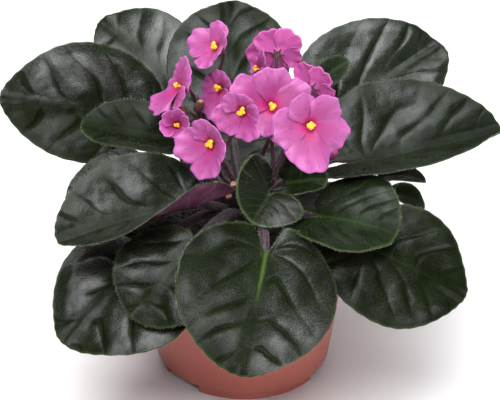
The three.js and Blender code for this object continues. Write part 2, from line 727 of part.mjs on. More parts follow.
// Soil up to just under the lip, lumpy on top, with a plain hole for the crown's neck.
function soilGeometry() {
  const wallAt = (z) =>
    pot.bottomRadius + pot.taper * (z - pot.footHeight) - pot.wall - clearance;
  const bottom = pot.footHeight + pot.floor + clearance;
  const shoulder = pot.height - pot.lipHeight;
  const hole = crown.neckRadius + clearance;
  const edge = wallAt(shoulder);
  const filling = turned(
    [
      [0, bottom],
      [wallAt(bottom), bottom],
      [edge, shoulder],
      [edge, soilLevel - soilSlope],
      ...soilRings.map((inward) => [edge - inward, soilLevel]),
      [hole, soilLevel],
      [hole, crown.neckBottom - clearance],
      [0, crown.neckBottom - clearance],
    ],
    pot.sides,
  );
  const place = filling.getAttribute("position");
  for (let i = 0; i < place.count; i++) {
    const [x, y, z] = [place.getX(i), place.getY(i), place.getZ(i)];
    const radius = Math.hypot(x, y);
    const onTop = z > soilLevel - soilSlope / 2;
    if (!onTop || radius < hole + 1 || radius > edge - 1) continue;
    place.setZ(i, z + soilLumps * Math.sin(0.31 * x + 0.7) * Math.cos(0.27 * y - 0.4));
  }
  return filling;
}

// The crown's short stem with every petiole grown into it. The stalks' feet stand in
// sockets in its top.
function crownGeometry(sheets) {
  const middle = turned(
    [
      [0, crown.neckBottom],
      [crown.neckRadius, crown.neckBottom],
      [crown.neckRadius, soilLevel],
      [crown.shoulderRadius, crown.shoulderBottom],
      [crown.shoulderRadius, crown.shoulderTop],
      [crown.shoulderRadius * crown.topShare, crown.top - 1],
      [0, crown.top],
    ],
    16,
  );
  let joined = toManifold(middle);
  for (const sheet of sheets) {
    const { start, end } = petioleRadius(sheet.blade);
    const curve = petioleCurve(sheet);
    joined = joined.add(toManifold(stem(curve, start, end, petiole.steps, stemSides)));
  }
  for (const tip of stubs) {
    const end = vector(tip);
    const low = crown.shoulderTop - stub.footDepth;
    const foot = new THREE.Vector3(end.x * stub.footX, end.y * stub.footY, low);
    const curve = new THREE.LineCurve3(foot, end);
    const { startRadius, endRadius, sides } = stub;
    joined = joined.add(toManifold(stem(curve, startRadius, endRadius, 1, sides)));
  }
  for (const stalk of Object.values(stalks)) {
    const foot = stalkCurve(stalk).getPoint(0);
    const wide = stalk.radius + socket.play;
    const { depth, mouthShare, sides } = socket;
    const mouth = new THREE.CylinderGeometry(mouthShare * wide, wide, depth, sides);
    mouth.rotateX(Math.PI / 2).translate(foot.x, foot.y, foot.z + depth / 2 - clearance);
    joined = joined.subtract(toManifold(mouth));
  }
  return fromManifold(joined);
}

const plant = new THREE.Group();
plant.name = "potted_african_violet";
const materials = Object.fromEntries(
  Object.entries(finish).map(([name, look]) => [
    name,
    new THREE.MeshStandardMaterial({ metalness: 0, ...look }),
  ]),
);

function addNode(name, geometry, material) {
  const mesh = new THREE.Mesh(geometry, materials[material]);
  mesh.name = name;
  plant.add(mesh);
}

addNode("pot", potGeometry(), "pot");
addNode("soil", soilGeometry(), "soil");
const sheets = Object.values(blades).map((blade) => new Sheet(blade));
addNode("crown_and_petioles", crownGeometry(sheets), "petiole");
Object.keys(blades).forEach((name, index) => {
  const material = blades[name].young ? "youngBlade" : "blade";
  addNode(name, bladeGeometry(sheets[index]), material);
});
for (const [name, stalk] of Object.entries(stalks)) {
  addNode(name, stalkGeometry(stalk), "stalk");
}
for (const [name, flower] of Object.entries(flowers)) {
  addNode(name, corollaGeometry(flower), "petal");
  addNode(`${name}_anthers`, antherGeometry(flower), "anther");
}

addNode("flower_bud", budGeometry(), "bud");

export default plant;
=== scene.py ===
import json
import math

import bpy
import numpy as np
from mathutils import Matrix, Vector

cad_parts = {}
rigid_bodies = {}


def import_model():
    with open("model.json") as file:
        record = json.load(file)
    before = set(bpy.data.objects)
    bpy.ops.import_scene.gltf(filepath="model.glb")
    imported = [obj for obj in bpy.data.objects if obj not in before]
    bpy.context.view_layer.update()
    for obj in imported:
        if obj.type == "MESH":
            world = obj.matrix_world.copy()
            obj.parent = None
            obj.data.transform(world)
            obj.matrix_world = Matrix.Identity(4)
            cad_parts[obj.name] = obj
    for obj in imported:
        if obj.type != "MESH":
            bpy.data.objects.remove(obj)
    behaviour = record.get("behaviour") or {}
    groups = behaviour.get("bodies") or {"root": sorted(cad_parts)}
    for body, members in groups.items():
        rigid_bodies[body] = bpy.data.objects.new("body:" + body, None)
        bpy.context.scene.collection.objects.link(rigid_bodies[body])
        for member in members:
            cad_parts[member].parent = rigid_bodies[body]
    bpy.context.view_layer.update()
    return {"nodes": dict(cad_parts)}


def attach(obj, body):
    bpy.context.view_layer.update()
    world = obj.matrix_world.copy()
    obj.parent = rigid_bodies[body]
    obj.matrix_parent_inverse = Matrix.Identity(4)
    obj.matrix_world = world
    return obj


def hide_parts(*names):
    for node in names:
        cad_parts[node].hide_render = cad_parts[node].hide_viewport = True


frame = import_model()
mm = 0.001
wholeTurn = 2 * math.pi
goldenTurn = math.pi * (3 - math.sqrt(5))
bpy.ops.object.select_all(action="DESELECT")
print("frame loaded with", len(frame["nodes"]), "nodes")


# Small helpers for numbers

def unit(vectors):
    vectors = np.asarray(vectors, float)
    return vectors / np.linalg.norm(vectors, axis=-1, keepdims=True)


def column(values):
    return np.asarray(values)[:, None]


def polar(radius, turn):
    return radius * math.cos(turn), radius * math.sin(turn)


def smooth(value):
    held = np.clip(value, 0, 1)
    return held * held * (3 - 2 * held)


def bell(value, width):
    return np.exp(-((value / width) ** 2))


# Soft random swells of about the given size
def ripples(x, y, size, seed):
    draw = np.random.default_rng(seed)
    total = np.zeros_like(x)
    first = draw.uniform(0, wholeTurn)
    for number in range(7):
        turn = first + goldenTurn * number
        pace = wholeTurn / (size * draw.uniform(0.7, 1.5))
        total += np.sin(pace * (x * math.cos(turn) + y * math.sin(turn)) + draw.uniform(0, 6.3))
    return total / 3


# Small helpers for meshes; points are written in millimetres

def selectOnly(piece):
    bpy.ops.object.select_all(action="DESELECT")
    bpy.context.view_layer.objects.active = piece
    piece.select_set(True)


def add(operator, name="", **settings):
    bpy.ops.object.select_all(action="DESELECT")
    operator(**settings)
    made = bpy.context.object
    made.name = name or made.name
    return made


def newPiece(name, points, faces, edges=()):
    mesh = bpy.data.meshes.new(name)
    mesh.from_pydata((np.asarray(points) * mm).tolist(), edges, faces)
    piece = bpy.data.objects.new(name, mesh)
    bpy.context.collection.objects.link(piece)
    return piece


def readPoints(mesh, kind="co"):
    values = np.empty(3 * len(mesh.vertices))
    mesh.vertices.foreach_get(kind, values)
    return values.reshape(-1, 3)


def writePoints(mesh, points):
    mesh.vertices.foreach_set("co", (points * mm).ravel())


def writeValues(mesh, name, values):
    mesh.attributes.new(name, "FLOAT", "POINT").data.foreach_set("value", values)


def writeFlat(mesh, flat):
    corners = np.empty(len(mesh.loops), int)
    mesh.loops.foreach_get("vertex_index", corners)
    layer = mesh.uv_layers.active or mesh.uv_layers.new(name="UVMap")
    layer.data.foreach_set("uv", flat[corners].ravel())


# The points of a square grid, pressed onto a disc of radius 1
def discPlaces(mesh):
    x, y = readPoints(mesh).T[:2]
    return x * np.sqrt(1 - y * y / 2), y * np.sqrt(1 - x * x / 2)


# Points and faces of a primitive that is only a pattern for others
def pattern(operator, **settings):
    ball = add(operator, **settings)
    shape = readPoints(ball.data)
    faces = [list(polygon.vertices) for polygon in ball.data.polygons]
    bpy.data.objects.remove(ball)
    return shape, faces


def change(piece, kind, **settings):
    modifier = piece.modifiers.new("change", kind)
    for key, value in settings.items():
        setattr(modifier, key, value)
    selectOnly(piece)
    bpy.ops.object.modifier_apply(modifier="change")


# Gives a sheet its underside and marks that with the value "below"
def thicken(piece, thickness, group=""):
    number = len(piece.data.vertices)
    change(piece, "SOLIDIFY", thickness=thickness * mm, offset=-1, vertex_group=group)
    below = np.arange(len(piece.data.vertices)) >= number
    writeValues(piece.data, "below", below.astype(float))


# Ends an edit with near points joined and normals outward
def closeMesh(joinWithin=0):
    bpy.ops.mesh.select_all(action="SELECT")
    if joinWithin:
        bpy.ops.mesh.remove_doubles(threshold=joinWithin)
    bpy.ops.mesh.normals_make_consistent(inside=False)
    bpy.ops.object.mode_set(mode="OBJECT")


def settle(piece, paint, nodes=(), sharpFrom=180):
    piece.data.materials.clear()
    piece.data.materials.append(paint)
    if sharpFrom == 180:
        piece.data.shade_smooth()
    elif sharpFrom:
        selectOnly(piece)
        bpy.ops.object.shade_smooth_by_angle(angle=math.radians(sharpFrom))
    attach(piece, "root")
    if nodes:
        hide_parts(*nodes)


# Small helpers for materials; a node joins the tree of the first socket it is given

def feed(node, inputs):
    for key, value in inputs.items():
        socket = node.inputs[key]
        if isinstance(value, bpy.types.NodeSocket):
            node.id_data.links.new(value, socket)
        elif socket.type == "RGBA":
            socket.default_value = (*value, 1)
        else:
            socket.default_value = value
    return node


def addNode(tree, kind, inputs, **settings):
    made = tree.nodes.new(kind)
    for key, value in settings.items():
        setattr(made, key, value)
    return feed(made, inputs)


def calc(operation, first, second=0.0):
    inputs = {0: first, 1: second}
    return addNode(first.id_data, "ShaderNodeMath", inputs, operation=operation).outputs[0]


def times(first, second):
    return calc("MULTIPLY", first, second)


def ramp(value, low, high, start=0.0, end=1.0):
    inputs = {"Value": value, "From Min": low, "From Max": high, "To Min": start, "To Max": end}
    made = addNode(value.id_data, "ShaderNodeMapRange", inputs, interpolation_type="SMOOTHSTEP")
    return made.outputs["Result"]


# Where a mix node has its share, its two colours and its mixed colour
mixSockets = {"share": 0, "first": 6, "second": 7, "result": 2}


def blend(share, first, second):
    inputs = {mixSockets["share"]: share, mixSockets["first"]: first, mixSockets["second"]: second}
    made = addNode(share.id_data, "ShaderNodeMix", inputs, data_type="RGBA")
    return made.outputs[mixSockets["result"]]


def layered(color, *layers):
    for share, over in layers:
        color = blend(share, color, over)
    return color


def noise(place, scale, detail):
    inputs = {"Vector": place, "Scale": scale, "Detail": detail}
    return addNode(place.id_data, "ShaderNodeTexNoise", inputs).outputs["Fac"]


def wobble(place, scale, detail, size):
    return times(calc("SUBTRACT", noise(place, scale, detail), 0.5), size)


def bump(height, depth, strength, under=None):
    inputs = {"Height": height, "Distance": depth * mm, "Strength": strength}
    if under is not None:
        inputs["Normal"] = under
    return addNode(height.id_data, "ShaderNodeBump", inputs).outputs["Normal"]


def attribute(tree, name):
    return addNode(tree, "ShaderNodeAttribute", {}, attribute_name=name).outputs["Fac"]


def flatPlace(tree):
    flat = addNode(tree, "ShaderNodeUVMap", {}, uv_map="UVMap").outputs["UV"]
    split = addNode(tree, "ShaderNodeSeparateXYZ", {0: flat})
    return flat, split.outputs["X"], split.outputs["Y"]


def newSurface(name):
    paint = bpy.data.materials.new(name)
    paint.use_nodes = True
    tree = paint.node_tree
    place = tree.nodes.new("ShaderNodeTexCoord").outputs["Object"]
    return paint, tree, tree.nodes["Principled BSDF"], place


# Two colours and a relief from one grain
def grainySurface(name, grain, reach, dark, light, roughness, relief):
    paint, tree, surface, place = newSurface(name)
    grains = noise(place, *grain)
    color = blend(ramp(grains, *reach), dark, light)
    feed(surface, {"Base Color": color, "Roughness": roughness, "Normal": bump(grains, *relief)})
    return paint


# Camera, floor and studio light

camera = {
    "place": (0.002228, -0.672664, 0.444594),
    "right": (0.9998, 0.00928, 0.0176), "up": (-0.0199, 0.46629, 0.88441),
    "lens": 111.456, "sensor": 36, "nearest": 0.01,
}
floor = {"size": 6, "color": (0.86, 0.86, 0.86), "roughness": 0.9}
lights = {
    "key": {"place": (-0.22, -0.66, 1.3), "size": (1.1, 1.1), "power": 28},
    "overhead": {"place": (0.1, 0.3, 1.35), "size": (1.2, 0.9), "power": 16},
    "front": {"place": (0.9, -1.35, 0.42), "size": (0.9, 0.4), "power": 8},
    "back": {"place": (0.3, 1.5, 0.9), "size": (1.2, 0.4), "power": 2},
}
lightTarget = (0, 0, 0.1)
worldLight = {"Color": (1, 1, 1), "Strength": 0.14}


def setCamera():
    right = Vector(camera["right"]).normalized()
    back = right.cross(Vector(camera["up"]).normalized()).normalized()
    turned = Matrix((right, back.cross(right), back)).transposed().to_4x4()
    eye = add(bpy.ops.object.camera_add, "photo_camera")
    eye.matrix_world = Matrix.Translation(camera["place"]) @ turned
    eye.data.sensor_fit = "HORIZONTAL"
    eye.data.sensor_width = camera["sensor"]
    eye.data.lens = camera["lens"]
    eye.data.clip_start = camera["nearest"]
    bpy.context.scene.camera = eye


def setLights():
    for name, light in lights.items():
        lamp = add(bpy.ops.object.light_add, name + "_softbox", type="AREA", location=light["place"])
        lamp.data.shape = "RECTANGLE"
        lamp.data.size, lamp.data.size_y = light["size"]
        lamp.data.energy = light["power"]
        aim = Vector(lightTarget) - Vector(light["place"])
        lamp.rotation_euler = aim.to_track_quat("-Z", "Y").to_euler()
    world = bpy.data.worlds.new("studio")
    world.use_nodes = True
    feed(world.node_tree.nodes["Background"], worldLight)
    bpy.context.scene.world = world
    bpy.context.scene.view_settings.view_transform = "Standard"


def setFloor():
    ground = add(bpy.ops.mesh.primitive_plane_add, "studio_floor", size=floor["size"])
    paint, tree, surface, place = newSurface("studio_floor")
    feed(surface, {"Base Color": floor["color"], "Roughness": floor["roughness"]})
    ground.data.materials.append(paint)


setCamera()
setLights()
setFloor()
print("camera, lights and floor set")


# Leaf materials: green satin above, purple below, with veins along the blade's own lines and painted
# shade in their sunk valleys

usualLook = dict(
    deep=(0.0042, 0.0078, 0.002), green=(0.0075, 0.0145, 0.004), rim=(0.06, 0.1, 0.028),
    gloss=(0.35, 0.85), sheen=0.02, glow=0.0)
leafLooks = {
    "dark": dict(
        deep=(0.004, 0.0062, 0.0018), green=(0.0072, 0.0112, 0.0034), rim=(0.035, 0.055, 0.018),
        vein=(0.02, 0.035, 0.009), veinShow=0.05, ribShow=0.3, ribEnd=0.5, gloss=(0.3, 0.75)),
    "grey": dict(
        deep=(0.005, 0.0075, 0.003), green=(0.009, 0.0138, 0.0058), rim=(0.035, 0.05, 0.02),
        vein=(0.008, 0.012, 0.004), veinShow=0.4, ribShow=0.2, ribEnd=0.6, gloss=(0.5, 0.9), sheen=0.06),
    "bright_rib": dict(
        deep=(0.0045, 0.0068, 0.0019), green=(0.0078, 0.0122, 0.0036), rim=(0.04, 0.065, 0.02),
        vein=(0.075, 0.13, 0.022), veinShow=0.03, ribShow=0.65, ribEnd=0.3, glow=0.04),
    "fresh": dict(vein=(0.03, 0.065, 0.012), veinShow=0.22, ribShow=0.3, ribEnd=0.6, glow=0.05),
    "green_veins": dict(vein=(0.045, 0.1, 0.018), veinShow=0.7, ribShow=0.6, ribEnd=0.8, glow=0.12),
    "silver_veins": dict(
        deep=(0.005, 0.0078, 0.0026), green=(0.0085, 0.0132, 0.0048), rim=(0.08, 0.13, 0.04),
        vein=(0.05, 0.065, 0.045), veinShow=0.5, ribShow=0.25, ribEnd=0.3, gloss=(0.25, 0.7), sheen=0.03),
    "plain": dict(
        deep=(0.009, 0.015, 0.007), green=(0.018, 0.028, 0.014), rim=(0.05, 0.07, 0.04),
        vein=(0.05, 0.07, 0.035), veinShow=0.25, ribShow=0.5, ribEnd=0.7, gloss=(0.4, 0.7), sheen=0.12),
    "young": dict(
        deep=(0.08, 0.18, 0.025), green=(0.16, 0.34, 0.05), rim=(0.25, 0.42, 0.1),
        vein=(0.2, 0.38, 0.06), veinShow=0.5, ribShow=0.7, ribEnd=0.5, gloss=(0.4, 0.8), sheen=0.1),
}
leafUnder = {"base": (0.12, 0.036, 0.075), "pale": (0.23, 0.085, 0.15), "vein": (0.38, 0.16, 0.22)}
leafGrain = {
    "roughness": (0.24, 0.36), "stipple": 0.11, "stippleScale": 1800, "quilt": 0.14, "groove": 0.1,
    "ribWidth": (0.014, 0.005), "rimPatch": 2.6, "valleyShine": 0.22,
}
leafShine = {"Sheen Roughness": 0.4, "Sheen Tint": (0.85, 0.9, 0.88), "Specular Tint": (0.96, 0.985, 1)}


def leafSurface(name, look):
    look = {**usualLook, **look}
    paint, tree, surface, place = newSurface("leaf_" + name)
    flat, along, side = flatPlace(tree)
    across = calc("ABSOLUTE", side)
    gap = calc("PINGPONG", calc("ADD", attribute(tree, "vein"), wobble(flat, 12, 3, 0.2)), 0.5)
    # valley is painted shade along the sunk side veins, read from the value "crease": it darkens the
    # colour and lowers the shine there
    valley = ramp(calc("ADD", attribute(tree, "crease"), wobble(flat, 22, 3, 0.4)), 0.12, 0.62)
    thread = ramp(gap, 0.0, 0.06, 1.0, 0.0)
    ribWidth = ramp(along, 0.0, look["ribEnd"] + 0.1, *leafGrain["ribWidth"])
    rib = calc("DIVIDE", calc("ADD", across, wobble(flat, 30, 2, 0.006)), ribWidth)
    rib = ramp(rib, 0.0, 1.2, 1.0, 0.0)
    ribFade = ramp(along, 0.3 * look["ribEnd"], look["ribEnd"], 1.0, 0.0)
    glow = times(ramp(across, 0.0, 0.09, look["glow"], 0.0), ribFade)
    patches = noise(flat, 8, 4)
    rim = ramp(attribute(tree, "rim"), 0.2, times(patches, leafGrain["rimPatch"]), 1.0, 0.0)
    # The layer mixed by valley is painted shade: the colour goes to deep in the vein valleys
    green = layered(
        look["deep"], (ramp(patches, 0.35, 0.65), look["green"]), (times(valley, 0.4), look["deep"]),
        (glow, look["vein"]), (times(thread, look["veinShow"]), look["vein"]),
        (times(rib, times(ribFade, look["ribShow"])), look["vein"]), (times(rim, 0.5), look["rim"]))
    purple = layered(
        leafUnder["base"], (ramp(patches, 0.3, 0.7), leafUnder["pale"]),
        (times(calc("MAXIMUM", thread, rib), 0.5), leafUnder["vein"]))

    quilt = bump(noise(flat, 55, 2), leafGrain["quilt"], 0.6)
    grooves = bump(ramp(gap, 0.0, 0.12), leafGrain["groove"], 0.5, quilt)
    stipple = noise(place, leafGrain["stippleScale"], 3)
    shine = ramp(noise(flat, 7, 3), 0.35, 0.65, *look["gloss"])
    shine = times(shine, ramp(valley, 0.0, 1.0, 1.0, leafGrain["valleyShine"]))
    shine = times(times(shine, ramp(stipple, 0.4, 0.6, 0.75, 1.1)), attribute(tree, "shine"))
    feed(surface, {
        "Base Color": blend(ramp(attribute(tree, "below"), 0.8, 1.0), green, purple),
        "Normal": bump(stipple, leafGrain["stipple"], 0.9, grooves),
        "Roughness": ramp(stipple, 0.35, 0.65, *leafGrain["roughness"]),
        "Specular IOR Level": shine, "Sheen Weight": times(shine, look["sheen"]), **leafShine,
    })
    return paint


leafPaint = {name: leafSurface(name, look) for name, look in leafLooks.items()}


# Hairs: thin closed cones, sunk a little into what they grow from

hair = {"sunk": 0.08, "sides": 3, "lean": 0.25, "darker": 0.6}
stemHair = {
    "petiole": {"perMm": 5.5, "length": 0.85, "radius": 0.045, "seed": 7},
    "stalk": {"perMm": 5.0, "length": 0.9, "radius": 0.04, "seed": 11},
}


def hairSurface(name, color):
    paint, tree, surface, place = newSurface(name)
    dark = tuple(hair["darker"] * value for value in color)
    color = blend(ramp(noise(place, 300, 1), 0.3, 0.7, 0.75, 1.0), dark, color)
    feed(surface, {"Base Color": color, "Roughness": 0.5})
    return paint


hairPaint = {
    "blade": hairSurface("leaf_hair", (0.3, 0.34, 0.27)),
    "petiole": hairSurface("stem_hair", (0.36, 0.28, 0.32)),
    "stalk": hairSurface("stalk_hair", (0.5, 0.38, 0.42)),
}


def hairPiece(name, roots, ways, lengths, radius, slot):
    draw = np.random.default_rng(len(roots))
    ways = unit(ways)
    side = unit(np.cross(ways, draw.normal(size=ways.shape)))
    other = np.cross(ways, side)
    low = roots - hair["sunk"] * ways
    points = np.empty((len(roots), hair["sides"] + 1, 3))
    for corner in range(hair["sides"]):
        across, upward = polar(1, wholeTurn * corner / hair["sides"])
        points[:, corner] = low + radius * (across * side + upward * other)
    points[:, -1] = roots + column(lengths) * (ways + hair["lean"] * side)
    first = np.arange(len(roots))[:, None, None] * (hair["sides"] + 1)
    cone = np.array([[0, 1, 3], [1, 2, 3], [2, 0, 3], [2, 1, 0]])
    faces = (first + cone).reshape(-1, 3)
    settle(newPiece(name, points.reshape(-1, 3), faces.tolist()), hairPaint[slot])


# Leaves

leaf = {
    "thickness": 1.1, "edgeShare": 0.55, "thickFrom": 4, "ribUnder": 1.1, "ribWidth": 2.1,
    "middle": 1.3, "edge": 0.9, "ribDepth": 0.8, "innerRing": 0.7, "leastFold": 1e-5,
    "pairs": 4.0, "arch": 0.75, "fanStep": 0.7, "wander": 0.16, "stagger": 0.28, "swellSize": 34,
    "bulge": 0.012, "bulgeWidth": 0.2, "bulgeFrom": 13, "bulgeLevel": 0.6, "swell": 0.009,
    "swellFrom": 12, "crease": 0.0075, "creaseWidth": 0.065, "shadeWidth": 0.115,
    "ribValley": 0.5, "ribValleyWidth": 1.7, "ribDull": 0.5, "ribDullWidth": 6, "grain": 0.07,
    "grainSize": 7, "heldWithin": 7, "crimp": 0.004, "crimps": 34, "wavesRound": 5,
    "raysDrawnIn": 0.2, "waveFrom": 4, "fineWaves": 13, "fineWaveShare": 0.2, "flatScale": 100,
}
cellsFrom = {50: 80, 30: 52, 0: 24}
usualBlade = dict(
    twist=0, belly=0.4, point=0.2, lobe=(0.1, 0.1), wave=0.8, look="dark", shine=(1.0, 1.0),
    tipShine=1, foldShare=0.26, foldAtTip=1, notch=0.13, slant=0.42, creaseFrom=7)
blades = {
    "leaf_front": dict(
        base=(10, -65, 98), tip=(-1, -97, 52), face=(0.15, -0.6, 0.46), left=37, right=41,
        bend=20, fold=(-4, 16), twist=6, belly=0.29, point=0.33, lobe=(0.26, 0.2),
        look="bright_rib", shine=(1.25, 0.6)),
    "leaf_front_left_inner": dict(
        base=(-22, -55, 98), tip=(-48, -80, 69), face=(-0.2, -0.6, 0.62), left=25, right=26,
        bend=22, fold=(4, 0), twist=-4, belly=0.48, point=0.18, lobe=(0.12, 0.05), wave=0.9,
        shine=(0.7, 0.6)),
    "leaf_front_left_outer": dict(
        base=(-37, -36, 90), tip=(-82, -77, 54), face=(-0.28, -0.6, 0.76), left=42, right=28,
        bend=16, fold=(0, 4), belly=0.45, point=0.32, lobe=(0.13, 0.02), wave=1, shine=(0.85, 0.8)),
    "leaf_left": dict(
        base=(-27, -31, 104), tip=(-86, -57, 98), face=(0.02, -0.6, 0.8), left=29, right=30,
        bend=6, fold=(82, 14), twist=-4, belly=0.33, point=0.25, lobe=(0.36, 0.19), wave=0.6,
        look="grey", foldAtTip=0.45, foldShare=0.1, shine=(0.42, 0.52)),
    "leaf_left_under": dict(
        base=(-40, 3, 98), tip=(-87, -9, 88), face=(-0.12, -0.6, 1.23), left=29, right=25,
        bend=19, fold=(6, 3), belly=0.41, lobe=(0.12, 0)),
    "leaf_left_young": dict(
        base=(-33, 4, 120), tip=(-80, 6, 126), face=(0, -0.6, 0.96), left=20, right=17,
        bend=19, fold=(34, 10), twist=-1, belly=0.44, point=0.29, wave=0.7, shine=(0.18, 0.2)),
    "leaf_far_left": dict(
        base=(-51, 50, 110), tip=(-124, 34, 127), face=(-0.2, -0.6, 0.45), left=29, right=34,
        bend=10, fold=(8, 12), twist=-14, point=0.42, lobe=(0, 0.14), wave=1, shine=(0.27, 1.7)),
    "leaf_back_left": dict(
        base=(-35, 66, 119), tip=(-79, 101, 143), face=(-0.11, -0.6, 0.74), left=22, right=27,
        bend=19, fold=(6, 3), belly=0.41, point=0.23, lobe=(0.12, 0.13), look="grey",
        shine=(0.85, 0.85)),
    "leaf_back": dict(
        base=(-10, 50, 116), tip=(-12, 93, 158), face=(-0.18, -0.6, 0.67), left=31, right=34,
        bend=17, fold=(14, 4), point=0.22, lobe=(0.22, 0.12), wave=0.9, shine=(0.5, 0.5)),
    "leaf_back_right": dict(
        base=(43, 48, 112), tip=(103, 98, 134), face=(-0.12, -0.6, 0.47), left=39, right=27,
        bend=17, fold=(8, 3), belly=0.32, point=0.18, lobe=(0.17, 0.12), wave=1, look="grey",
        slant=1.6, creaseFrom=14, shine=(1.0, 0.95)),
    "leaf_right": dict(
        base=(59, 11, 108), tip=(126, 24, 120), face=(0.02, -0.6, 1.19), left=39, right=32,
        bend=-7, fold=(20, 40), belly=0.18, point=0.25, lobe=(0.3, 0.42), wave=0.9, look="grey",
        foldAtTip=1.2, foldShare=0.12, notch=0.04, slant=1.25, creaseFrom=15, shine=(0.5, 0.16),
        tipShine=0.55),
    "leaf_right_inner": dict(
        base=(34, -34, 100), tip=(70, -49, 99), face=(0.12, -0.6, 1.15), left=33, right=28,
        bend=28, fold=(-10, 28), twist=8, belly=0.45, point=0.19, lobe=(0.58, 0.4), look="fresh",
        slant=0.3, shine=(0.4, 0.12)),
    "leaf_front_right": dict(
        base=(57, -45, 90), tip=(104, -50, 67), face=(0.2, -0.6, 0.6), left=28, right=31,
        bend=26, fold=(6, -10), twist=4, belly=0.33, point=0.42, lobe=(0.2, 0.44),
        shine=(0.42, 0.42)),
    "leaf_young_right": dict(
        base=(20, -12, 106), tip=(39, -19, 112), face=(0.08, -0.6, 0.5), left=18, right=16,
        bend=17, fold=(30, 58), twist=8, point=0.24, lobe=(0.24, 0.28), wave=0.5,
        look="green_veins"),
    "leaf_young_front": dict(
        base=(11, -32, 110), tip=(3, -49, 104), face=(0.22, -0.6, 0.57), left=19, right=21,
        bend=26, fold=(25, 30), twist=2, belly=0.31, point=0.14, lobe=(0.3, 1.1), wave=0.5,
        look="silver_veins"),
    "leaf_newest": dict(
        base=(-2, -13, 98), tip=(-4, -16, 105), face=(0.3, -0.8, 0.5), left=4, right=4,
        bend=20, fold=(30, 30), belly=0.45, wave=0.1, look="young"),
    "leaf_small_back": dict(
        base=(36, 50, 132), tip=(51, 47, 145), face=(0, -0.6, 1), left=8, right=8,
        bend=19, fold=(5, 6), belly=0.43, lobe=(0.11, 0.12), wave=0.3, look="plain",
        shine=(0.6, 0.6)),
    "leaf_under_right_upper": dict(
        base=(69, 23, 92), tip=(91, 27, 88), face=(0, -0.6, 1.42), left=7, right=4,
        bend=60, fold=(10, 10), belly=0.44, lobe=(0.12, 0.12), wave=0.3),
    "leaf_under_right_lower": dict(
        base=(74, 23, 84), tip=(91, 24, 74), face=(0, -0.6, 1.43), left=8, right=6,
        bend=50, fold=(6, 10), belly=0.42, lobe=(0.08, 0.12), wave=0.3, look="fresh"),
    "leaf_rear_left": dict(
        base=(-34, 60, 96), tip=(-72, 108, 90), face=(0, -0.1, 1), left=26, right=26,
        bend=24, fold=(5, 5), point=0.3, wave=0.9),
    "leaf_rear_middle": dict(
        base=(-2, 36, 86), tip=(-2, 104, 83), face=(0, 0, 1), left=34, right=30,
        bend=6, fold=(-4, -4), point=0.3, wave=0.4),
    "leaf_rear_right": dict(
        base=(57, 52, 94), tip=(98, 90, 84), face=(0, 0, 1), left=26, right=26,
        bend=24, fold=(5, 5), point=0.3, wave=0.9),
}
blades = {name: {**usualBlade, **blade} for name, blade in blades.items()}


# The sheet of one blade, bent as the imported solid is: p runs along the midrib from the
# notch and q to its left, with the fold rounded near the midrib.
class Sheet:
    def __init__(self, blade):
        self.blade = blade
        self.base = np.array(blade["base"], float)
        chord = np.array(blade["tip"], float) - self.base
        self.along = unit(chord)
        face = np.array(blade["face"], float)
        self.up = unit(face - face.dot(self.along) * self.along)
        self.across = np.cross(self.up, self.along)
        self.bend = math.radians(blade["bend"])
        self.length = np.linalg.norm(chord) * self.bend / 2 / math.sin(self.bend / 2)
        self.widest = blade["belly"] * self.length

    def frames(self, p):
        arc = self.length / self.bend
        slope = self.bend / 2 - self.bend * p / self.length
        run = arc * (math.sin(self.bend / 2) - np.sin(slope))
        rise = arc * (np.cos(slope) - math.cos(self.bend / 2))
        middle = self.base + column(run) * self.along + column(rise) * self.up
        forward = column(np.cos(slope)) * self.along + column(np.sin(slope)) * self.up
        level = np.cross(forward, self.across)
        roll = math.radians(self.blade["twist"]) * (p / self.length - 0.5)
        across = column(np.cos(roll)) * self.across + column(np.sin(roll)) * level
        return middle, forward, across, np.cross(forward, across)

    def at(self, p, q, lift):
        p, q = np.atleast_1d(p), np.atleast_1d(q)
        middle, forward, across, normal = self.frames(p)
        onLeft, reach = q > 0, np.abs(q)
        eased = 1 + (self.blade["foldAtTip"] - 1) * np.maximum(0, p / self.length)
        fold = np.where(onLeft, *(np.radians(self.blade["fold"]) + leaf["leastFold"])) * eased
        band = self.blade["foldShare"] * np.where(onLeft, self.blade["left"], self.blade["right"])
        inner = np.minimum(reach, band)
        turned = fold * inner / band
        side = band * np.sin(turned) / fold + (reach - inner) * np.cos(fold)
        rise = band * (1 - np.cos(turned)) / fold + (reach - inner) * np.sin(fold)
        sign = np.where(onLeft, 1, -1)
        up = column(np.cos(turned)) * normal - column(sign * np.sin(turned)) * across
        lifted = column(lift + np.zeros(len(p))) * up
        return middle + column(sign * side) * across + column(rise) * normal + lifted

    def edge(self, turn):
        onLeft = turn <= math.pi
        angle = np.where(onLeft, turn, wholeTurn - turn)
        lobe = np.where(onLeft, *self.blade["lobe"]) * self.length
        reach = np.where(np.cos(angle) >= 0, self.length - self.widest, self.widest + lobe)
        notch = lobe * bell(math.pi - angle, self.blade["notch"])
        narrowing = 1 - self.blade["point"] * np.maximum(0, np.cos(angle)) ** 3
        half = np.where(onLeft, self.blade["left"], -self.blade["right"])
        return self.widest + reach * np.cos(angle) + notch, half * np.sin(angle) * narrowing


# Counts the side veins from the first pair: whole numbers lie on a vein. Behind the
# first pair the veins fan out into the lobes.
def veinCount(sheet, p, q):
    reach = np.abs(q)
    first = sheet.blade["slant"] * reach + leaf["arch"] * reach**2 / sheet.length
    ahead = (p - first) * leaf["pairs"] / sheet.length
    fan = (np.arctan2(reach, p) - np.arctan2(reach, first)) / leaf["fanStep"]
    return np.where(ahead >= 0, ahead, -fan)


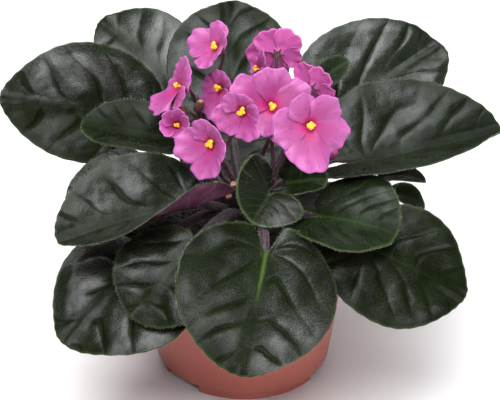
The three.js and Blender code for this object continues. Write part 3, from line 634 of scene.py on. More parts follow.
def leafPiece(name, blade, seed):
    sheet = Sheet(blade)
    wide = blade["left"] + blade["right"]
    cells = next(count for least, count in cellsFrom.items() if wide > least)
    grid = {"x_subdivisions": cells, "y_subdivisions": cells, "size": 2}
    piece = add(bpy.ops.mesh.primitive_grid_add, name + "_blade", **grid)
    mesh = piece.data
    mesh.name = piece.name
    discX, discY = discPlaces(mesh)
    share = np.hypot(discX, discY)
    turn = np.arctan2(discY, discX) % wholeTurn
    edgeP, edgeQ = sheet.edge(turn)
    crimp = 1 + leaf["crimp"] * np.sin(leaf["crimps"] * turn + seed) * smooth((share - 0.9) / 0.1)
    p = sheet.widest + share * crimp * (edgeP - sheet.widest)
    q = share * crimp * edgeQ
    toEdge = (1 - share) * np.hypot(edgeP - sheet.widest, edgeQ)

    reach = np.abs(q)
    half = np.where(q > 0, blade["left"], blade["right"])
    count = veinCount(sheet, p, q) + leaf["wander"] * ripples(p, q, leaf["swellSize"], seed)
    count += leaf["stagger"] * np.sign(q) * smooth(reach / 8)
    fade = 1 - 0.8 * smooth((reach / half - 0.35) / 0.5)
    fade *= (0.75 + 0.25 * ripples(p, q, 18, seed + 9)) * smooth(reach / blade["creaseFrom"])
    onVein = np.abs((count + 0.5) % 1 - 0.5)
    # shade is a band of painted shade along each side vein; the leaf material darkens the colour with it
    crease, shade, valley = (
        fade * bell(onVein, leaf[key]) for key in ("creaseWidth", "shadeWidth", "bulgeWidth"))
    bulge = (1 - valley) * smooth(reach / leaf["bulgeFrom"])
    held = smooth(toEdge / leaf["heldWithin"])
    beside = smooth(reach / leaf["waveFrom"])
    swell = ripples(p, q, leaf["swellSize"], seed + 50) * smooth(reach / leaf["swellFrom"])
    lift = leaf["bulge"] * (bulge - leaf["bulgeLevel"]) * beside + leaf["swell"] * swell
    lift = (lift - leaf["crease"] * crease) * sheet.length * held
    lift += leaf["grain"] * ripples(p, q, leaf["grainSize"], seed + 60) * held
    lift -= leaf["ribValley"] * bell(q, leaf["ribValleyWidth"]) * (1 - smooth(p / sheet.length))
    even = turn
    for _ in range(3):
        even = turn + leaf["raysDrawnIn"] * np.sin(2 * even)
    waves = share**2 * np.sin(leaf["wavesRound"] * even + seed)
    waves += leaf["fineWaveShare"] * share**3 * np.sin(leaf["fineWaves"] * turn + 2 * seed)
    top = sheet.at(p, q, lift + blade["wave"] * waves * beside + leaf["thickness"] / 2)
    writePoints(mesh, top)

    leftShine, rightShine = blade["shine"]
    shine = rightShine + (leftShine - rightShine) * smooth(0.5 + q / 16)
    shine *= (0.7 + 0.45 * bulge * held) * (1 - leaf["ribDull"] * bell(q, leaf["ribDullWidth"]))
    shine *= 1 + (blade["tipShine"] - 1) * smooth((p / sheet.length - 0.3) / 0.35)
    # The value "crease" holds shade, the painted shade along the side veins
    for label, values in (("vein", count), ("rim", toEdge), ("crease", shade), ("shine", shine)):
        writeValues(mesh, label, values)
    writeFlat(mesh, np.column_stack([p, q]) / leaf["flatScale"])
    mesh.update()
    normals = readPoints(mesh, "normal")

    thick = piece.vertex_groups.new(name="thick")
    weights = leaf["edgeShare"] + (1 - leaf["edgeShare"]) * smooth(toEdge / leaf["thickFrom"])
    for index, weight in enumerate(weights):
        thick.add([index], weight, "REPLACE")
    thicken(piece, leaf["thickness"], "thick")
    piece.vertex_groups.clear()
    place = readPoints(piece.data) / mm
    rib = leaf["ribUnder"] * bell(q, leaf["ribWidth"]) * (1 - np.clip(p / sheet.length, 0, 1))
    place[len(top):] -= column(rib * smooth(toEdge / 3)) * normals
    writePoints(piece.data, place)
    settle(piece, leafPaint[blade["look"]], [name])
    leafHairs(name, sheet, top, normals, cells, seed)


leafHair = {
    "rimSpacing": 0.42, "rimLength": 1.1, "rimRadius": 0.055, "rimSunk": 0.3, "rimSpread": 0.55,
    "perMm2": 0.14, "length": 0.75, "radius": 0.035, "spread": 0.5,
}


def leafHairs(name, sheet, top, normals, cells, seed):
    draw = np.random.default_rng(seed + 900)
    grid = np.arange((cells + 1) ** 2).reshape(cells + 1, cells + 1)
    loop = np.concatenate([grid[0, :-1], grid[:-1, -1], grid[-1, :0:-1], grid[:0:-1, 0]])
    start = top[loop]
    step = np.roll(start, -1, axis=0) - start
    lengths = np.linalg.norm(step, axis=1)
    number = int(lengths.sum() / leafHair["rimSpacing"])
    chosen = draw.choice(len(loop), number, p=lengths / lengths.sum())
    roots = start[chosen] + column(draw.random(number)) * step[chosen]
    up = normals[loop][chosen]
    outward = unit(np.cross(step[chosen], up))
    middle = sheet.at(sheet.widest, 0, 0)[0]
    outward *= column(np.sign(np.einsum("ij,ij->i", outward, roots - middle)))
    roots -= leafHair["rimSunk"] * up
    ways = outward + leafHair["rimSpread"] * draw.normal(size=roots.shape)
    ways += column(draw.uniform(-0.2, 0.7, number)) * up
    reach = leafHair["rimLength"] * draw.uniform(0.5, 1.25, number)

    corner, upward = (values.reshape(cells + 1, cells + 1, 3) for values in (top, normals))
    sideA = corner[1:, :-1] - corner[:-1, :-1]
    sideB = corner[:-1, 1:] - corner[:-1, :-1]
    area = np.linalg.norm(np.cross(sideA, sideB), axis=2).ravel()
    many = int(area.sum() * leafHair["perMm2"])
    cell = np.divmod(draw.choice(len(area), many, p=area / area.sum()), cells)
    a, b = column(draw.random(many)), column(draw.random(many))
    inner = corner[cell] + a * sideA[cell] + b * sideB[cell]
    innerWays = upward[cell] + leafHair["spread"] * draw.normal(size=inner.shape)
    innerReach = leafHair["length"] * draw.uniform(0.5, 1.2, many)
    radii = np.repeat([leafHair["rimRadius"], leafHair["radius"]], [number, many])
    hairPiece(
        name + "_hairs", np.vstack([roots, inner]), np.vstack([ways, innerWays]),
        np.concatenate([reach, innerReach]), column(radii), "blade")


for seed, (name, blade) in enumerate(blades.items()):
    leafPiece(name, blade, seed + 1)
print("leaves made:", len(blades))


# Stems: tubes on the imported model's own curves

clearance = 0.3
crown = {
    "neckRadius": 8, "shoulderRadius": 10, "neckBottom": 64, "shoulderBottom": 80, "shoulderTop": 86,
    "top": 91, "topRadius": 6,
}
petiole = {
    "broad": (2.6, 1.8), "small": (1.5, 1.1), "broadFrom": 45, "footRadius": 4, "footHeight": 83,
    "lap": 5, "lapShare": 0.3, "under": 0.55, "rise": 35, "startPull": 0.4, "endPull": 0.3,
}
stemShine = {
    "Roughness": 0.6, "Sheen Weight": 0.12, "Sheen Roughness": 0.45, "Sheen Tint": (0.9, 0.82, 0.86),
}


def stemSurface(name, dark, light, fuzz, scale=420):
    paint, tree, surface, place = newSurface(name)
    color = layered(
        dark, (ramp(noise(place, scale, 4), 0.35, 0.7), light),
        (ramp(noise(place, 90, 3), 0.45, 0.75, 0.0, 0.6), fuzz))
    feed(surface, {"Base Color": color, "Normal": bump(noise(place, 1500, 2), 0.15, 0.6), **stemShine})
    return paint


petiolePaint = stemSurface(
    "petiole", (0.009, 0.005, 0.008), (0.034, 0.017, 0.026), (0.055, 0.026, 0.034))
stalkPaint = stemSurface("stalk", (0.03, 0.005, 0.01), (0.075, 0.012, 0.026), (0.11, 0.03, 0.032))


# Places on a curve with handles, and the ways it runs there
def bezier(points, t):
    a, b, c, d = (np.asarray(point, float) for point in points)
    t = column(t)
    u = 1 - t
    place = u**3 * a + 3 * u * u * t * b + 3 * u * t * t * c + t**3 * d
    return place, 3 * u * u * (b - a) + 6 * u * t * (c - b) + 3 * t * t * (d - c)


# One mesh of round tubes from curves with handles, each (four points, start, end radius).
def tubePiece(name, tubes, paint, nodes, steps, sides):
    curve = bpy.data.curves.new(name, "CURVE")
    curve.dimensions = "3D"
    curve.bevel_depth = mm
    curve.bevel_resolution = sides
    curve.use_fill_caps = True
    curve.resolution_u = steps
    for points, startRadius, endRadius in tubes:
        a, b, c, d = (Vector(np.asarray(point, float) * mm) for point in points)
        spline = curve.splines.new("BEZIER")
        spline.bezier_points.add(1)
        first, last = spline.bezier_points
        for point in (first, last):
            point.handle_left_type = point.handle_right_type = "FREE"
        first.co, first.handle_right, first.handle_left = a, b, a - (b - a)
        last.co, last.handle_left, last.handle_right = d, c, d + (d - c)
        first.radius, last.radius = startRadius, endRadius
        spline.use_smooth = True
    piece = bpy.data.objects.new(name, curve)
    bpy.context.collection.objects.link(piece)
    selectOnly(piece)
    bpy.ops.object.convert(target="MESH")
    bpy.ops.object.mode_set(mode="EDIT")
    closeMesh(0.00001)
    settle(bpy.context.object, paint, nodes)


def tubeHairs(name, tubes, slot):
    kind = stemHair[slot]
    draw = np.random.default_rng(kind["seed"])
    roots, ways = [], []
    for points, startRadius, endRadius in tubes:
        line = bezier(points, np.linspace(0, 1, 12))[0]
        span = np.linalg.norm(np.diff(line, axis=0), axis=1).sum()
        number = max(3, int(span * kind["perMm"] * (startRadius + endRadius)))
        t = draw.uniform(0.02, 0.98, number)
        middle, forward = bezier(points, t)
        side = unit(np.cross(unit(forward), draw.normal(size=forward.shape)))
        roots.append(middle + side * column(startRadius + (endRadius - startRadius) * t))
        ways.append(side + 0.35 * draw.normal(size=side.shape))
    roots, ways = np.vstack(roots), np.vstack(ways)
    lengths = kind["length"] * draw.uniform(0.5, 1.3, len(roots))
    hairPiece(name, roots, ways, lengths, kind["radius"], slot)


# From the crown to a point just under the blade's midrib
def petioleTube(blade):
    sheet = Sheet(blade)
    start, end = petiole["broad" if blade["left"] + blade["right"] > petiole["broadFrom"] else "small"]
    lap = min(petiole["lap"], petiole["lapShare"] * sheet.length)
    half = (leaf["middle"] + (leaf["edge"] - leaf["middle"]) * (1 - lap / sheet.widest)) / 2
    rib = leaf["ribDepth"] * min(1, lap / ((1 - leaf["innerRing"]) * sheet.widest))
    tip = sheet.at(lap, 0, -half - rib * (1 - lap / sheet.length))[0]
    tip = tip + unit(tip - sheet.at(lap, 0, 0)[0]) * (end * petiole["under"])
    forward = sheet.frames(np.zeros(1))[1][0]
    turn, rise = math.atan2(blade["base"][1], blade["base"][0]), math.radians(petiole["rise"])
    low = np.array([*polar(petiole["footRadius"], turn), petiole["footHeight"]])
    span = np.linalg.norm(tip - low)
    out = np.array([*polar(math.cos(rise), turn), math.sin(rise)])
    leave = low + out * span * petiole["startPull"]
    return (low, leave, tip - forward * span * petiole["endPull"], tip), start, end


stubs = [(-5.8, -12, 104.6), (-8, -12, 98), (-14.5, -8, 102.5)]
stub = {
    "footX": 0.5, "footY": 0.6, "footDown": 2, "radius": 1.9, "faceShare": 0.78, "faceDepth": 0.9,
    "cutTowards": (0.1, -0.9, 0.1), "bevel": 0.15,
}
stubPaint = stemSurface("stub_face", (0.36, 0.13, 0.08), (0.72, 0.4, 0.22), (0.8, 0.5, 0.32))


# The cut face of a stub: a peach disc a little proud of the stem, with a soft rim
def stubEnd(name, foot, tip):
    way = (Vector(np.subtract(tip, foot)).normalized() + Vector(stub["cutTowards"])).normalized()
    disc = add(bpy.ops.mesh.primitive_cylinder_add, name, vertices=24, radius=1, depth=1)
    turned = Matrix.Translation(Vector(tip) * mm) @ way.to_track_quat("Z", "Y").to_matrix().to_4x4()
    radius = stub["radius"] * stub["faceShare"] * mm
    disc.data.transform(turned @ Matrix.Diagonal((radius, radius, stub["faceDepth"] * mm, 1)))
    change(disc, "BEVEL", width=stub["bevel"] * mm, segments=2)
    settle(disc, stubPaint, sharpFrom=0)


def straight(start, end):
    start, end = np.asarray(start, float), np.asarray(end, float)
    return start, start + (end - start) / 3, start + (end - start) * 2 / 3, end


def onAxis(low, high, startRadius, endRadius):
    return straight((0, 0, crown[low]), (0, 0, crown[high])), crown[startRadius], crown[endRadius]


petioles = [petioleTube(blade) for blade in blades.values()]
core = []
for number, tip in enumerate(stubs):
    foot = (tip[0] * stub["footX"], tip[1] * stub["footY"], crown["shoulderTop"] - stub["footDown"])
    core.append((straight(foot, tip), stub["radius"], stub["radius"]))
    stubEnd(f"stub_face_{number + 1}", foot, tip)
core += [
    onAxis("neckBottom", "shoulderBottom", "neckRadius", "shoulderRadius"),
    onAxis("shoulderBottom", "shoulderTop", "shoulderRadius", "shoulderRadius"),
    onAxis("shoulderTop", "top", "shoulderRadius", "topRadius"),
]
tubePiece("petioles_and_crown", petioles + core, petiolePaint, ["crown_and_petioles"], 24, 4)
tubeHairs("petiole_hairs", petioles, "petiole")
print("petioles made:", len(petioles))


# Flowers

flowers = {
    "flower_top_left": dict(
        at=(-14.8, 8, 166.7), face=(-0.6, -0.58, 0.53), roll=-12,
        lengths=(11.5, 12.5, 16, 13, 11), lifts=(30, 6, 10, 22, 34)),
    "flower_far_left": dict(
        at=(-32, -2, 151), face=(-0.84, -0.28, 0.38), roll=-10, antherSize=0.65,
        lengths=(14, 14, 14, 19, 13), lifts=(7, 6, -4, 26, 7)),
    "flower_left": dict(
        at=(-12.8, 1.3, 148.8), face=(-0.6, -0.75, 0.3), roll=-18,
        lengths=(9, 9, 11, 15, 8.5), lifts=(20, 14, 0, 12, 20)),
    "flower_opening": dict(
        at=(-32.5, -14, 136), face=(-0.12, -0.85, 0.5), roll=15,
        lengths=(9, 9, 9.6, 8.8, 9.6), lifts=(42, 42, 42, 42, 42), cup=2.2, closed=1.2),
    "flower_front_left": dict(
        at=(-15.9, -31, 135.4), face=(-0.52, -0.8, 0.26), roll=4,
        lengths=(12, 12.5, 17.5, 17, 13), lifts=(32, 22, 14, 16, 26)),
    "flower_front": dict(
        at=(-1.8, -23, 148.5), face=(-0.3, -0.9, 0.2), roll=20,
        lengths=(10, 11, 15, 14.5, 10.5), lifts=(30, 20, 8, 14, 30)),
    "flower_middle": dict(
        at=(11.5, -4, 142), face=(0.12, -0.78, 0.6), roll=-37,
        lengths=(20, 19, 22, 16, 22), lifts=(14, 14, 14, 14, 8)),
    "flower_front_right": dict(
        at=(29, -29, 144.5), face=(0.24, -0.86, 0.34), roll=-12, lobes=4,
        lengths=(16.5, 15.5, 18.5, 21.5, 18.5), lifts=(16, 14, 4, 14, 6)),
    "flower_top_right": dict(
        at=(14, 16, 161.5), face=(0.08, 0.98, 0.02), roll=0,
        lengths=(14, 14.5, 12, 10, 15), lifts=(-8, -8, 8, 14, 4)),
    "flower_behind": dict(
        at=(5, 12.5, 154.3), face=(-0.8, -0.45, 0.4), roll=0,
        lengths=(12, 6, 5, 6, 8), lifts=(20, 20, 16, 16, 16)),
    "flower_right": dict(
        at=(31.5, 10, 147), face=(0.5, 0.82, 0.2), roll=0,
        lengths=(13, 12, 11, 10, 10), lifts=(6, 6, 8, 10, 10)),
}
petalEdges = (20, 90, 160, 232, 308, 380)
petal = {
    "throat": 2.4, "tube": 2.2, "thickness": 0.4, "overlap": 1.34, "cleft": 0.66, "roundness": 2.8,
    "across": 22, "along": 18, "lap": 0.7, "skew": 0.12, "rimWaves": ((0.03, 4), (0.02, 11), (0.009, 23)),
    "ruffle": 0.06, "edgeRuffle": 0.03, "swell": 0.018, "cup": 0.06, "cupMore": 0.22, "curl": -0.07,
}
petalColors = {
    "pink": (0.35, 0.041, 0.205), "edge": (0.46, 0.105, 0.34), "fringe": (0.45, 0.13, 0.44),
    "throat": (0.46, 0.008, 0.14), "vein": (0.26, 0.02, 0.15), "pale": (0.42, 0.08, 0.3),
    # back is painted light: the petals' underside is coloured much lighter than the pink front to make up
    # for the light it misses
    "back": (0.6, 0.11, 0.4),
}
petalShine = {
    "Roughness": 0.5, "Sheen Weight": 0.1, "Sheen Roughness": 0.3, "Sheen Tint": (1, 0.8, 0.95),
    "Subsurface Weight": 0.25, "Subsurface Radius": (1.0, 0.35, 0.7), "Subsurface Scale": 0.6 * mm,
}


def petalSurface(look):
    paint, tree, surface, place = newSurface("petal")
    flat, outward, across = flatPlace(tree)
    streaks = addNode(tree, "ShaderNodeCombineXYZ", {0: times(outward, 0.3), 1: across})
    lines = noise(streaks.outputs[0], 16, 3)
    color = layered(
        look["pink"], (ramp(outward, 0.45, 1.0), look["edge"]),
        (ramp(lines, 0.5, 0.7, 0.0, 0.6), look["vein"]),
        (ramp(noise(place, 130, 2), 0.4, 0.7, 0.0, 0.35), look["pale"]),
        (ramp(outward, 0.9, 1.0, 0.0, 0.4), look["fringe"]),
        # The underside layer paints extra light onto the side that gets less of it
        (ramp(outward, 0.08, 0.48, 0.95, 0.0), look["throat"]), (attribute(tree, "below"), look["back"]))
    sparkle = addNode(tree, "ShaderNodeTexVoronoi", {"Vector": place, "Scale": 2600}, feature="F1")
    normal = bump(sparkle.outputs["Distance"], 0.08, 0.4, bump(lines, 0.25, 0.5))
    feed(surface, {"Base Color": color, "Normal": normal, **petalShine})
    return paint


petalPaint = petalSurface(petalColors)


def flowerFrame(flower):
    face = unit(flower["face"])
    top = np.array([0, 0, 1.0])
    top = unit(top - top.dot(face) * face)
    upward, sideways = polar(1, math.radians(flower["roll"]))
    turned = upward * top + sideways * np.cross(face, top)
    return face, turned, np.cross(turned, face)


def flowerPoint(flower, across, upward, out):
    face, top, side = flowerFrame(flower)
    across, upward, out = (np.asarray(v, float)[..., None] for v in (across, upward, out))
    return np.array(flower["at"], float) + across * side + upward * top + out * face


# The five lobes are grids that share the throat and lap over each other like tiles.
def corollaPiece(name, flower, seed):
    draw = np.random.default_rng(seed + 400)
    points, faces, flat = [], [], []
    rows, columns = petal["along"] + 1, petal["across"] + 1
    s, t = np.meshgrid(np.linspace(-1, 1, columns), np.linspace(0, 1, rows))
    for number in range(5):
        low, high = petalEdges[number], petalEdges[number + 1]
        half = math.radians((high - low) / 2) * petal["overlap"] * flower.get("closed", 1)
        angle = math.radians((low + high) / 2) + half * s
        length, lift = flower["lengths"][number], math.radians(flower["lifts"][number])
        before, after = flower["lifts"][number - 1], flower["lifts"][(number + 1) % 5]
        neighbour = np.where(s < 0, math.radians(before), math.radians(after))
        lifts = lift + (neighbour - lift) * 0.5 * np.abs(s) ** 3
        phase, second = draw.uniform(0, 6.3, 2)
        skew = draw.uniform(-petal["skew"], petal["skew"])
        rim = 1 - (1 - petal["cleft"]) * np.abs(s + skew * (1 - s * s)) ** petal["roundness"]
        for (height, pace), shift in zip(petal["rimWaves"], (phase, second, phase)):
            rim += height * np.sin(pace * s + shift)
        r = length * rim * t
        folds = petal["ruffle"] * t**3 * np.sin(4.6 * s + phase) * (0.5 + np.abs(s) * 0.5)
        folds += petal["edgeRuffle"] * smooth((t - 0.6) / 0.4) * np.sin(13 * s + second)
        folds += petal["swell"] * np.sin(5.5 * t + second) * np.cos(2.5 * s + phase) * smooth(t / 0.4)
        folds += petal["cup"] * t**2 * (1 - 2.2 * s**2) * draw.uniform(0.5, 1.4)
        folds += petal["cupMore"] * (flower.get("cup", 1) - 1) * t**2
        folds += petal["curl"] * smooth((t - 0.7) / 0.3) * draw.uniform(-0.3, 1.2)
        out = r * np.sin(lifts) - petal["throat"] * bell(r, petal["tube"]) + length * folds
        out += petal["lap"] * s * smooth(t * 2)
        radial = r * np.cos(lifts)
        grid = flowerPoint(flower, radial * np.cos(angle), radial * np.sin(angle), out)
        points.append(grid.reshape(-1, 3))
        flat.append(np.column_stack([t.ravel(), 0.5 * s.ravel() + number]))
        index = np.arange(rows * columns).reshape(rows, columns) + number * rows * columns
        quads = np.stack([index[:-1, :-1], index[1:, :-1], index[1:, 1:], index[:-1, 1:]], axis=-1)
        faces += quads.reshape(-1, 4).tolist()
    piece = newPiece(name + "_petals", np.vstack(points), faces)
    writeFlat(piece.data, np.vstack(flat))
    thicken(piece, petal["thickness"])
    settle(piece, petalPaint, [name])


antherPaint = grainySurface(
    "anther", (1500, 3), (0.35, 0.7), (0.9, 0.36, 0.01), (0.98, 0.72, 0.05), 0.55, (0.12, 0.5))
anther = {
    "wide": 1.1, "long": 1.5, "deep": 1.05, "apart": 1.15, "height": 2.3, "fullAt": 15, "seam": 0.25,
    "seamWidth": 0.28, "filaments": (-0.5, 0.5), "filamentFoot": 0.6, "filamentRadii": (0.35, 0.3),
}
antherBall = pattern(bpy.ops.mesh.primitive_uv_sphere_add, segments=16, ring_count=10, radius=1)


# Three or four bean-shaped lobes with a seam down each, on short filaments.
def antherPiece(name, flower, seed):
    draw = np.random.default_rng(seed + 70)
    scale = min(1, max(flower["lengths"]) / anther["fullAt"]) * flower.get("antherSize", 1)
    lobes = flower.get("lobes", 3)
    turnFirst = draw.uniform(0, 6.3)
    shape, ballFaces = antherBall
    ballX, ballY, ballZ = shape.T
    points, faces = [], []
    for number in range(lobes):
        turn = turnFirst + wholeTurn * number / lobes + draw.uniform(-0.4, 0.4)
        away = anther["apart"] * scale * draw.uniform(0.75, 1.15)
        size = scale * draw.uniform(0.75, 1.1)
        seam = 1 - anther["seam"] * bell(ballX, anther["seamWidth"]) * smooth(ballZ * 1.5)
        lumpy = 1 + 0.07 * np.sin(5 * ballY + number) + 0.05 * np.sin(7 * ballX + seed)
        wide = ballX * anther["wide"] * size * seam * lumpy
        long = ballY * anther["long"] * size * lumpy
        tilt = turn + draw.uniform(0.4, 1.4)
        x = away * math.cos(turn) + wide * math.cos(tilt) - long * math.sin(tilt)
        y = 0.8 * away * math.sin(turn) + wide * math.sin(tilt) + long * math.cos(tilt)
        z = ballZ * anther["deep"] * size * seam + anther["height"] * draw.uniform(0.85, 1.1)
        points.append(flowerPoint(flower, x, y, z))
        faces += [[number * len(shape) + v for v in face] for face in ballFaces]
    ring = np.linspace(0, wholeTurn, 7)[:-1]
    ends = (anther["filamentFoot"] - petal["throat"], anther["height"])
    for place in anther["filaments"]:
        low = sum(len(block) for block in points)
        high = low + len(ring)
        for height, radius in zip(ends, anther["filamentRadii"]):
            x, y = place + radius * np.cos(ring), radius * np.sin(ring)
            points.append(flowerPoint(flower, x, y, np.full(len(ring), height)))
        for corner in range(len(ring)):
            after = (corner + 1) % len(ring)
            faces.append([low + corner, low + after, high + after, high + corner])
        faces += [list(range(high - 1, low - 1, -1)), list(range(high, high + len(ring)))]
    piece = newPiece(name + "_lobes", np.vstack(points), faces)
    settle(piece, antherPaint, [name + "_anthers"])


for seed, (name, flower) in enumerate(flowers.items()):
    corollaPiece(name, flower, seed)
    antherPiece(name, flower, seed)
print("flowers made:", len(flowers))


# Flower stalks with pedicels, calyxes, old husks and the bud

stalks = {
    "stalk_left": dict(
        turn=160, out=3.8, fork=(-22, 5, 130), radius=1.4, spent=((-29.3, -4, 139.5), (-24, -2, 141)),
        flowers=("flower_top_left", "flower_far_left", "flower_left", "flower_opening")),
    "stalk_front": dict(
        turn=212, out=4, fork=(-13, -19, 119), radius=1.3, spent=(),
        flowers=("flower_front_left", "flower_front")),
    "stalk_right": dict(
        turn=330, out=4, fork=(13.4, -13.4, 110), radius=1.4, spent=(),
        flowers=("flower_middle", "flower_front_right")),
    "stalk_back": dict(
        turn=60, out=4, fork=(14, 8, 134), radius=1.4, spent=(),
        flowers=("flower_top_right", "flower_behind", "flower_right", "flower_bud")),
}
stalkShape = {"footDown": 7, "leave": 0.5, "arrive": 0.3, "thinning": 0.8}
bud = {"at": (41, -8, 120), "face": (0.5, -0.5, 0.6), "radius": 2.6, "half": 3.51, "roll": 0, "hug": 0.75}
pedicel = {"rise": 0.35, "leave": 0.3, "arrive": 0.22, "radiusShare": 0.75, "endRadius": 0.8}
sepal = {"radius": 0.75, "tipRadius": 0.15, "reach": (0.6, 1.9, 2.8, 3.7), "out": (0, 0.7, 1.9, 3.1)}
calyxCup = {"behind": 0.6, "ahead": 1.2, "startRadius": 1.0, "endRadius": 1.9}
spentWay = {"bow": (-1, 0, 1), "startRadius": 0.8, "endRadius": 0.6}


def flowerBack(flower):
    return clearance + flower.get("half", petal["throat"] + petal["thickness"])


def pedicelTube(stalk, flower):
    fork = np.array(stalk["fork"], float)
    end = flowerPoint(flower, 0, 0, -flowerBack(flower))
    span = np.linalg.norm(end - fork)
    leave = unit(end - fork) + np.array([0, 0, pedicel["rise"]])
    arrive = end - flowerFrame(flower)[0] * span * pedicel["arrive"]
    points = (fork, fork + leave * span * pedicel["leave"], arrive, end)
    return points, stalk["radius"] * pedicel["radiusShare"], pedicel["endRadius"]


def stalkTube(stalk):
    turn = math.radians(stalk["turn"])
    foot = np.array([*polar(stalk["out"], turn), crown["top"] - stalkShape["footDown"]])
    fork = np.array(stalk["fork"], float)
    up = np.array([0, 0, np.linalg.norm(fork - foot)])
    points = (foot, foot + stalkShape["leave"] * up, fork - stalkShape["arrive"] * up, fork)
    return points, stalk["radius"], stalk["radius"] * stalkShape["thinning"]


# A cup behind the flower and narrow pointed sepals round its back
def calyxTubes(flower):
    hug = flower.get("hug", 1.0)
    base, face = -flowerBack(flower), flowerFrame(flower)[0]
    back = flowerPoint(flower, 0, 0, base)
    cup = straight(back - calyxCup["behind"] * face, back + calyxCup["ahead"] * face)
    tubes = [(cup, calyxCup["startRadius"], calyxCup["endRadius"])]
    for number in range(5):
        angle = math.radians(72 * number + 54)
        spots = [
            flowerPoint(flower, *polar(reach * drawn, angle), base + out)
            for reach, out, drawn in zip(sepal["reach"], sepal["out"], (1, 1, hug, hug))]
        tubes.append((tuple(spots), sepal["radius"], sepal["tipRadius"]))
    return tubes


for name, stalk in stalks.items():
    tubes = [stalkTube(stalk)]
    cups = []
    for flowerName in stalk["flowers"]:
        flower = flowers.get(flowerName, bud)
        tubes.append(pedicelTube(stalk, flower))
        cups += calyxTubes(flower)
    for tip in stalk["spent"]:
        fork, end = np.array(stalk["fork"], float), np.array(tip, float)
        middle = (fork + end) / 2 + np.array(spentWay["bow"])
        points = (fork, fork + (middle - fork) * 2 / 3, end + (middle - end) * 2 / 3, end)
        tubes.append((points, spentWay["startRadius"], spentWay["endRadius"]))
    tubePiece(name + "_stem", tubes + cups, stalkPaint, [name], 14, 2)
    tubeHairs(name + "_hairs", tubes + cups, "stalk")


husk = {"radius": 2.3, "half": 3.1, "cream": (0.5, 0.3, 0.2), "leans": (-1.2, 1.0)}


def huskSurface():
    paint = stemSurface("husk", (0.05, 0.018, 0.013), (0.19, 0.075, 0.05), (0.28, 0.13, 0.085), 260)
    surface = paint.node_tree.nodes["Principled BSDF"]
    brown = surface.inputs["Base Color"].links[0].from_socket
    feed(surface, {"Base Color": blend(attribute(paint.node_tree, "tip"), brown, husk["cream"])})
    return paint


def huskPiece(name, middle, lean, paint):
    pod = add(bpy.ops.mesh.primitive_uv_sphere_add, name, segments=18, ring_count=12, radius=1)
    x, y, z = readPoints(pod.data).T
    turn = np.arctan2(y, x)
    fold = husk["radius"] * (1 + 0.24 * np.cos(5 * turn + 1.5 * z) + 0.06 * np.sin(11 * turn))
    shape = np.column_stack([x * fold + lean * (z + 1), y * fold, husk["half"] * z])
    writePoints(pod.data, shape + np.array(middle))
    writeValues(pod.data, "tip", smooth((z - 0.7) / 0.25))
    settle(pod, paint)


def budPiece():
    piece = add(bpy.ops.mesh.primitive_uv_sphere_add, "bud_petals", segments=28, ring_count=18, radius=1)
    x, y, z = readPoints(piece.data).T
    turn = np.arctan2(y, x) + 1.2 * z
    fold = bud["radius"] * (1 - 0.09 * np.abs(np.sin(2.5 * turn)) ** 6)
    writePoints(piece.data, flowerPoint(bud, x * fold, y * fold, bud["half"] * z))
    settle(piece, budPaint, ["flower_bud"])


huskPaint = huskSurface()
for number, tip in enumerate(stalks["stalk_left"]["spent"]):
    huskPiece(f"spent_calyx_{number + 1}", tip, husk["leans"][number], huskPaint)
budPaint = stemSurface("bud", (0.2, 0.012, 0.08), (0.42, 0.04, 0.2), (0.5, 0.08, 0.3), 200)
budPiece()
print("stalks, husks and bud made")


# Pot

pot = {
    "height": 80.5, "footHeight": 5, "footRadius": 41.5, "footWall": 3, "bossRadius": 12,
    "bottomRadius": 44, "taper": 0.122, "wall": 1.8, "floor": 2.2, "lipHeight": 14, "lipOut": 1.9,
    "lipTopRadius": 55, "drainRadius": 4.5, "drainRing": 27, "drains": 5, "feet": 3,
    "footArc": 87, "firstFoot": -121, "footSteps": 32, "spin": 128,
}
potColors = {"clay": (0.31, 0.077, 0.058), "light": (0.38, 0.102, 0.077), "dust": (0.46, 0.17, 0.13)}
lipBottom = pot["height"] - pot["lipHeight"]


def potSurface():
    paint, tree, surface, place = newSurface("clay_plastic")
    dust = noise(place, 420, 3)
    color = layered(
        potColors["clay"], (ramp(noise(place, 22, 4), 0.3, 0.7), potColors["light"]),
        (ramp(dust, 0.6, 0.8, 0.0, 0.25), potColors["dust"]))
    feed(surface, {
        "Base Color": color, "Roughness": ramp(dust, 0.3, 0.7, 0.42, 0.56),
        "Normal": bump(noise(place, 700, 3), 0.06, 0.4),
    })
    return paint


def wallAt(z):
    return pot["bottomRadius"] + pot["taper"] * (z - pot["footHeight"])


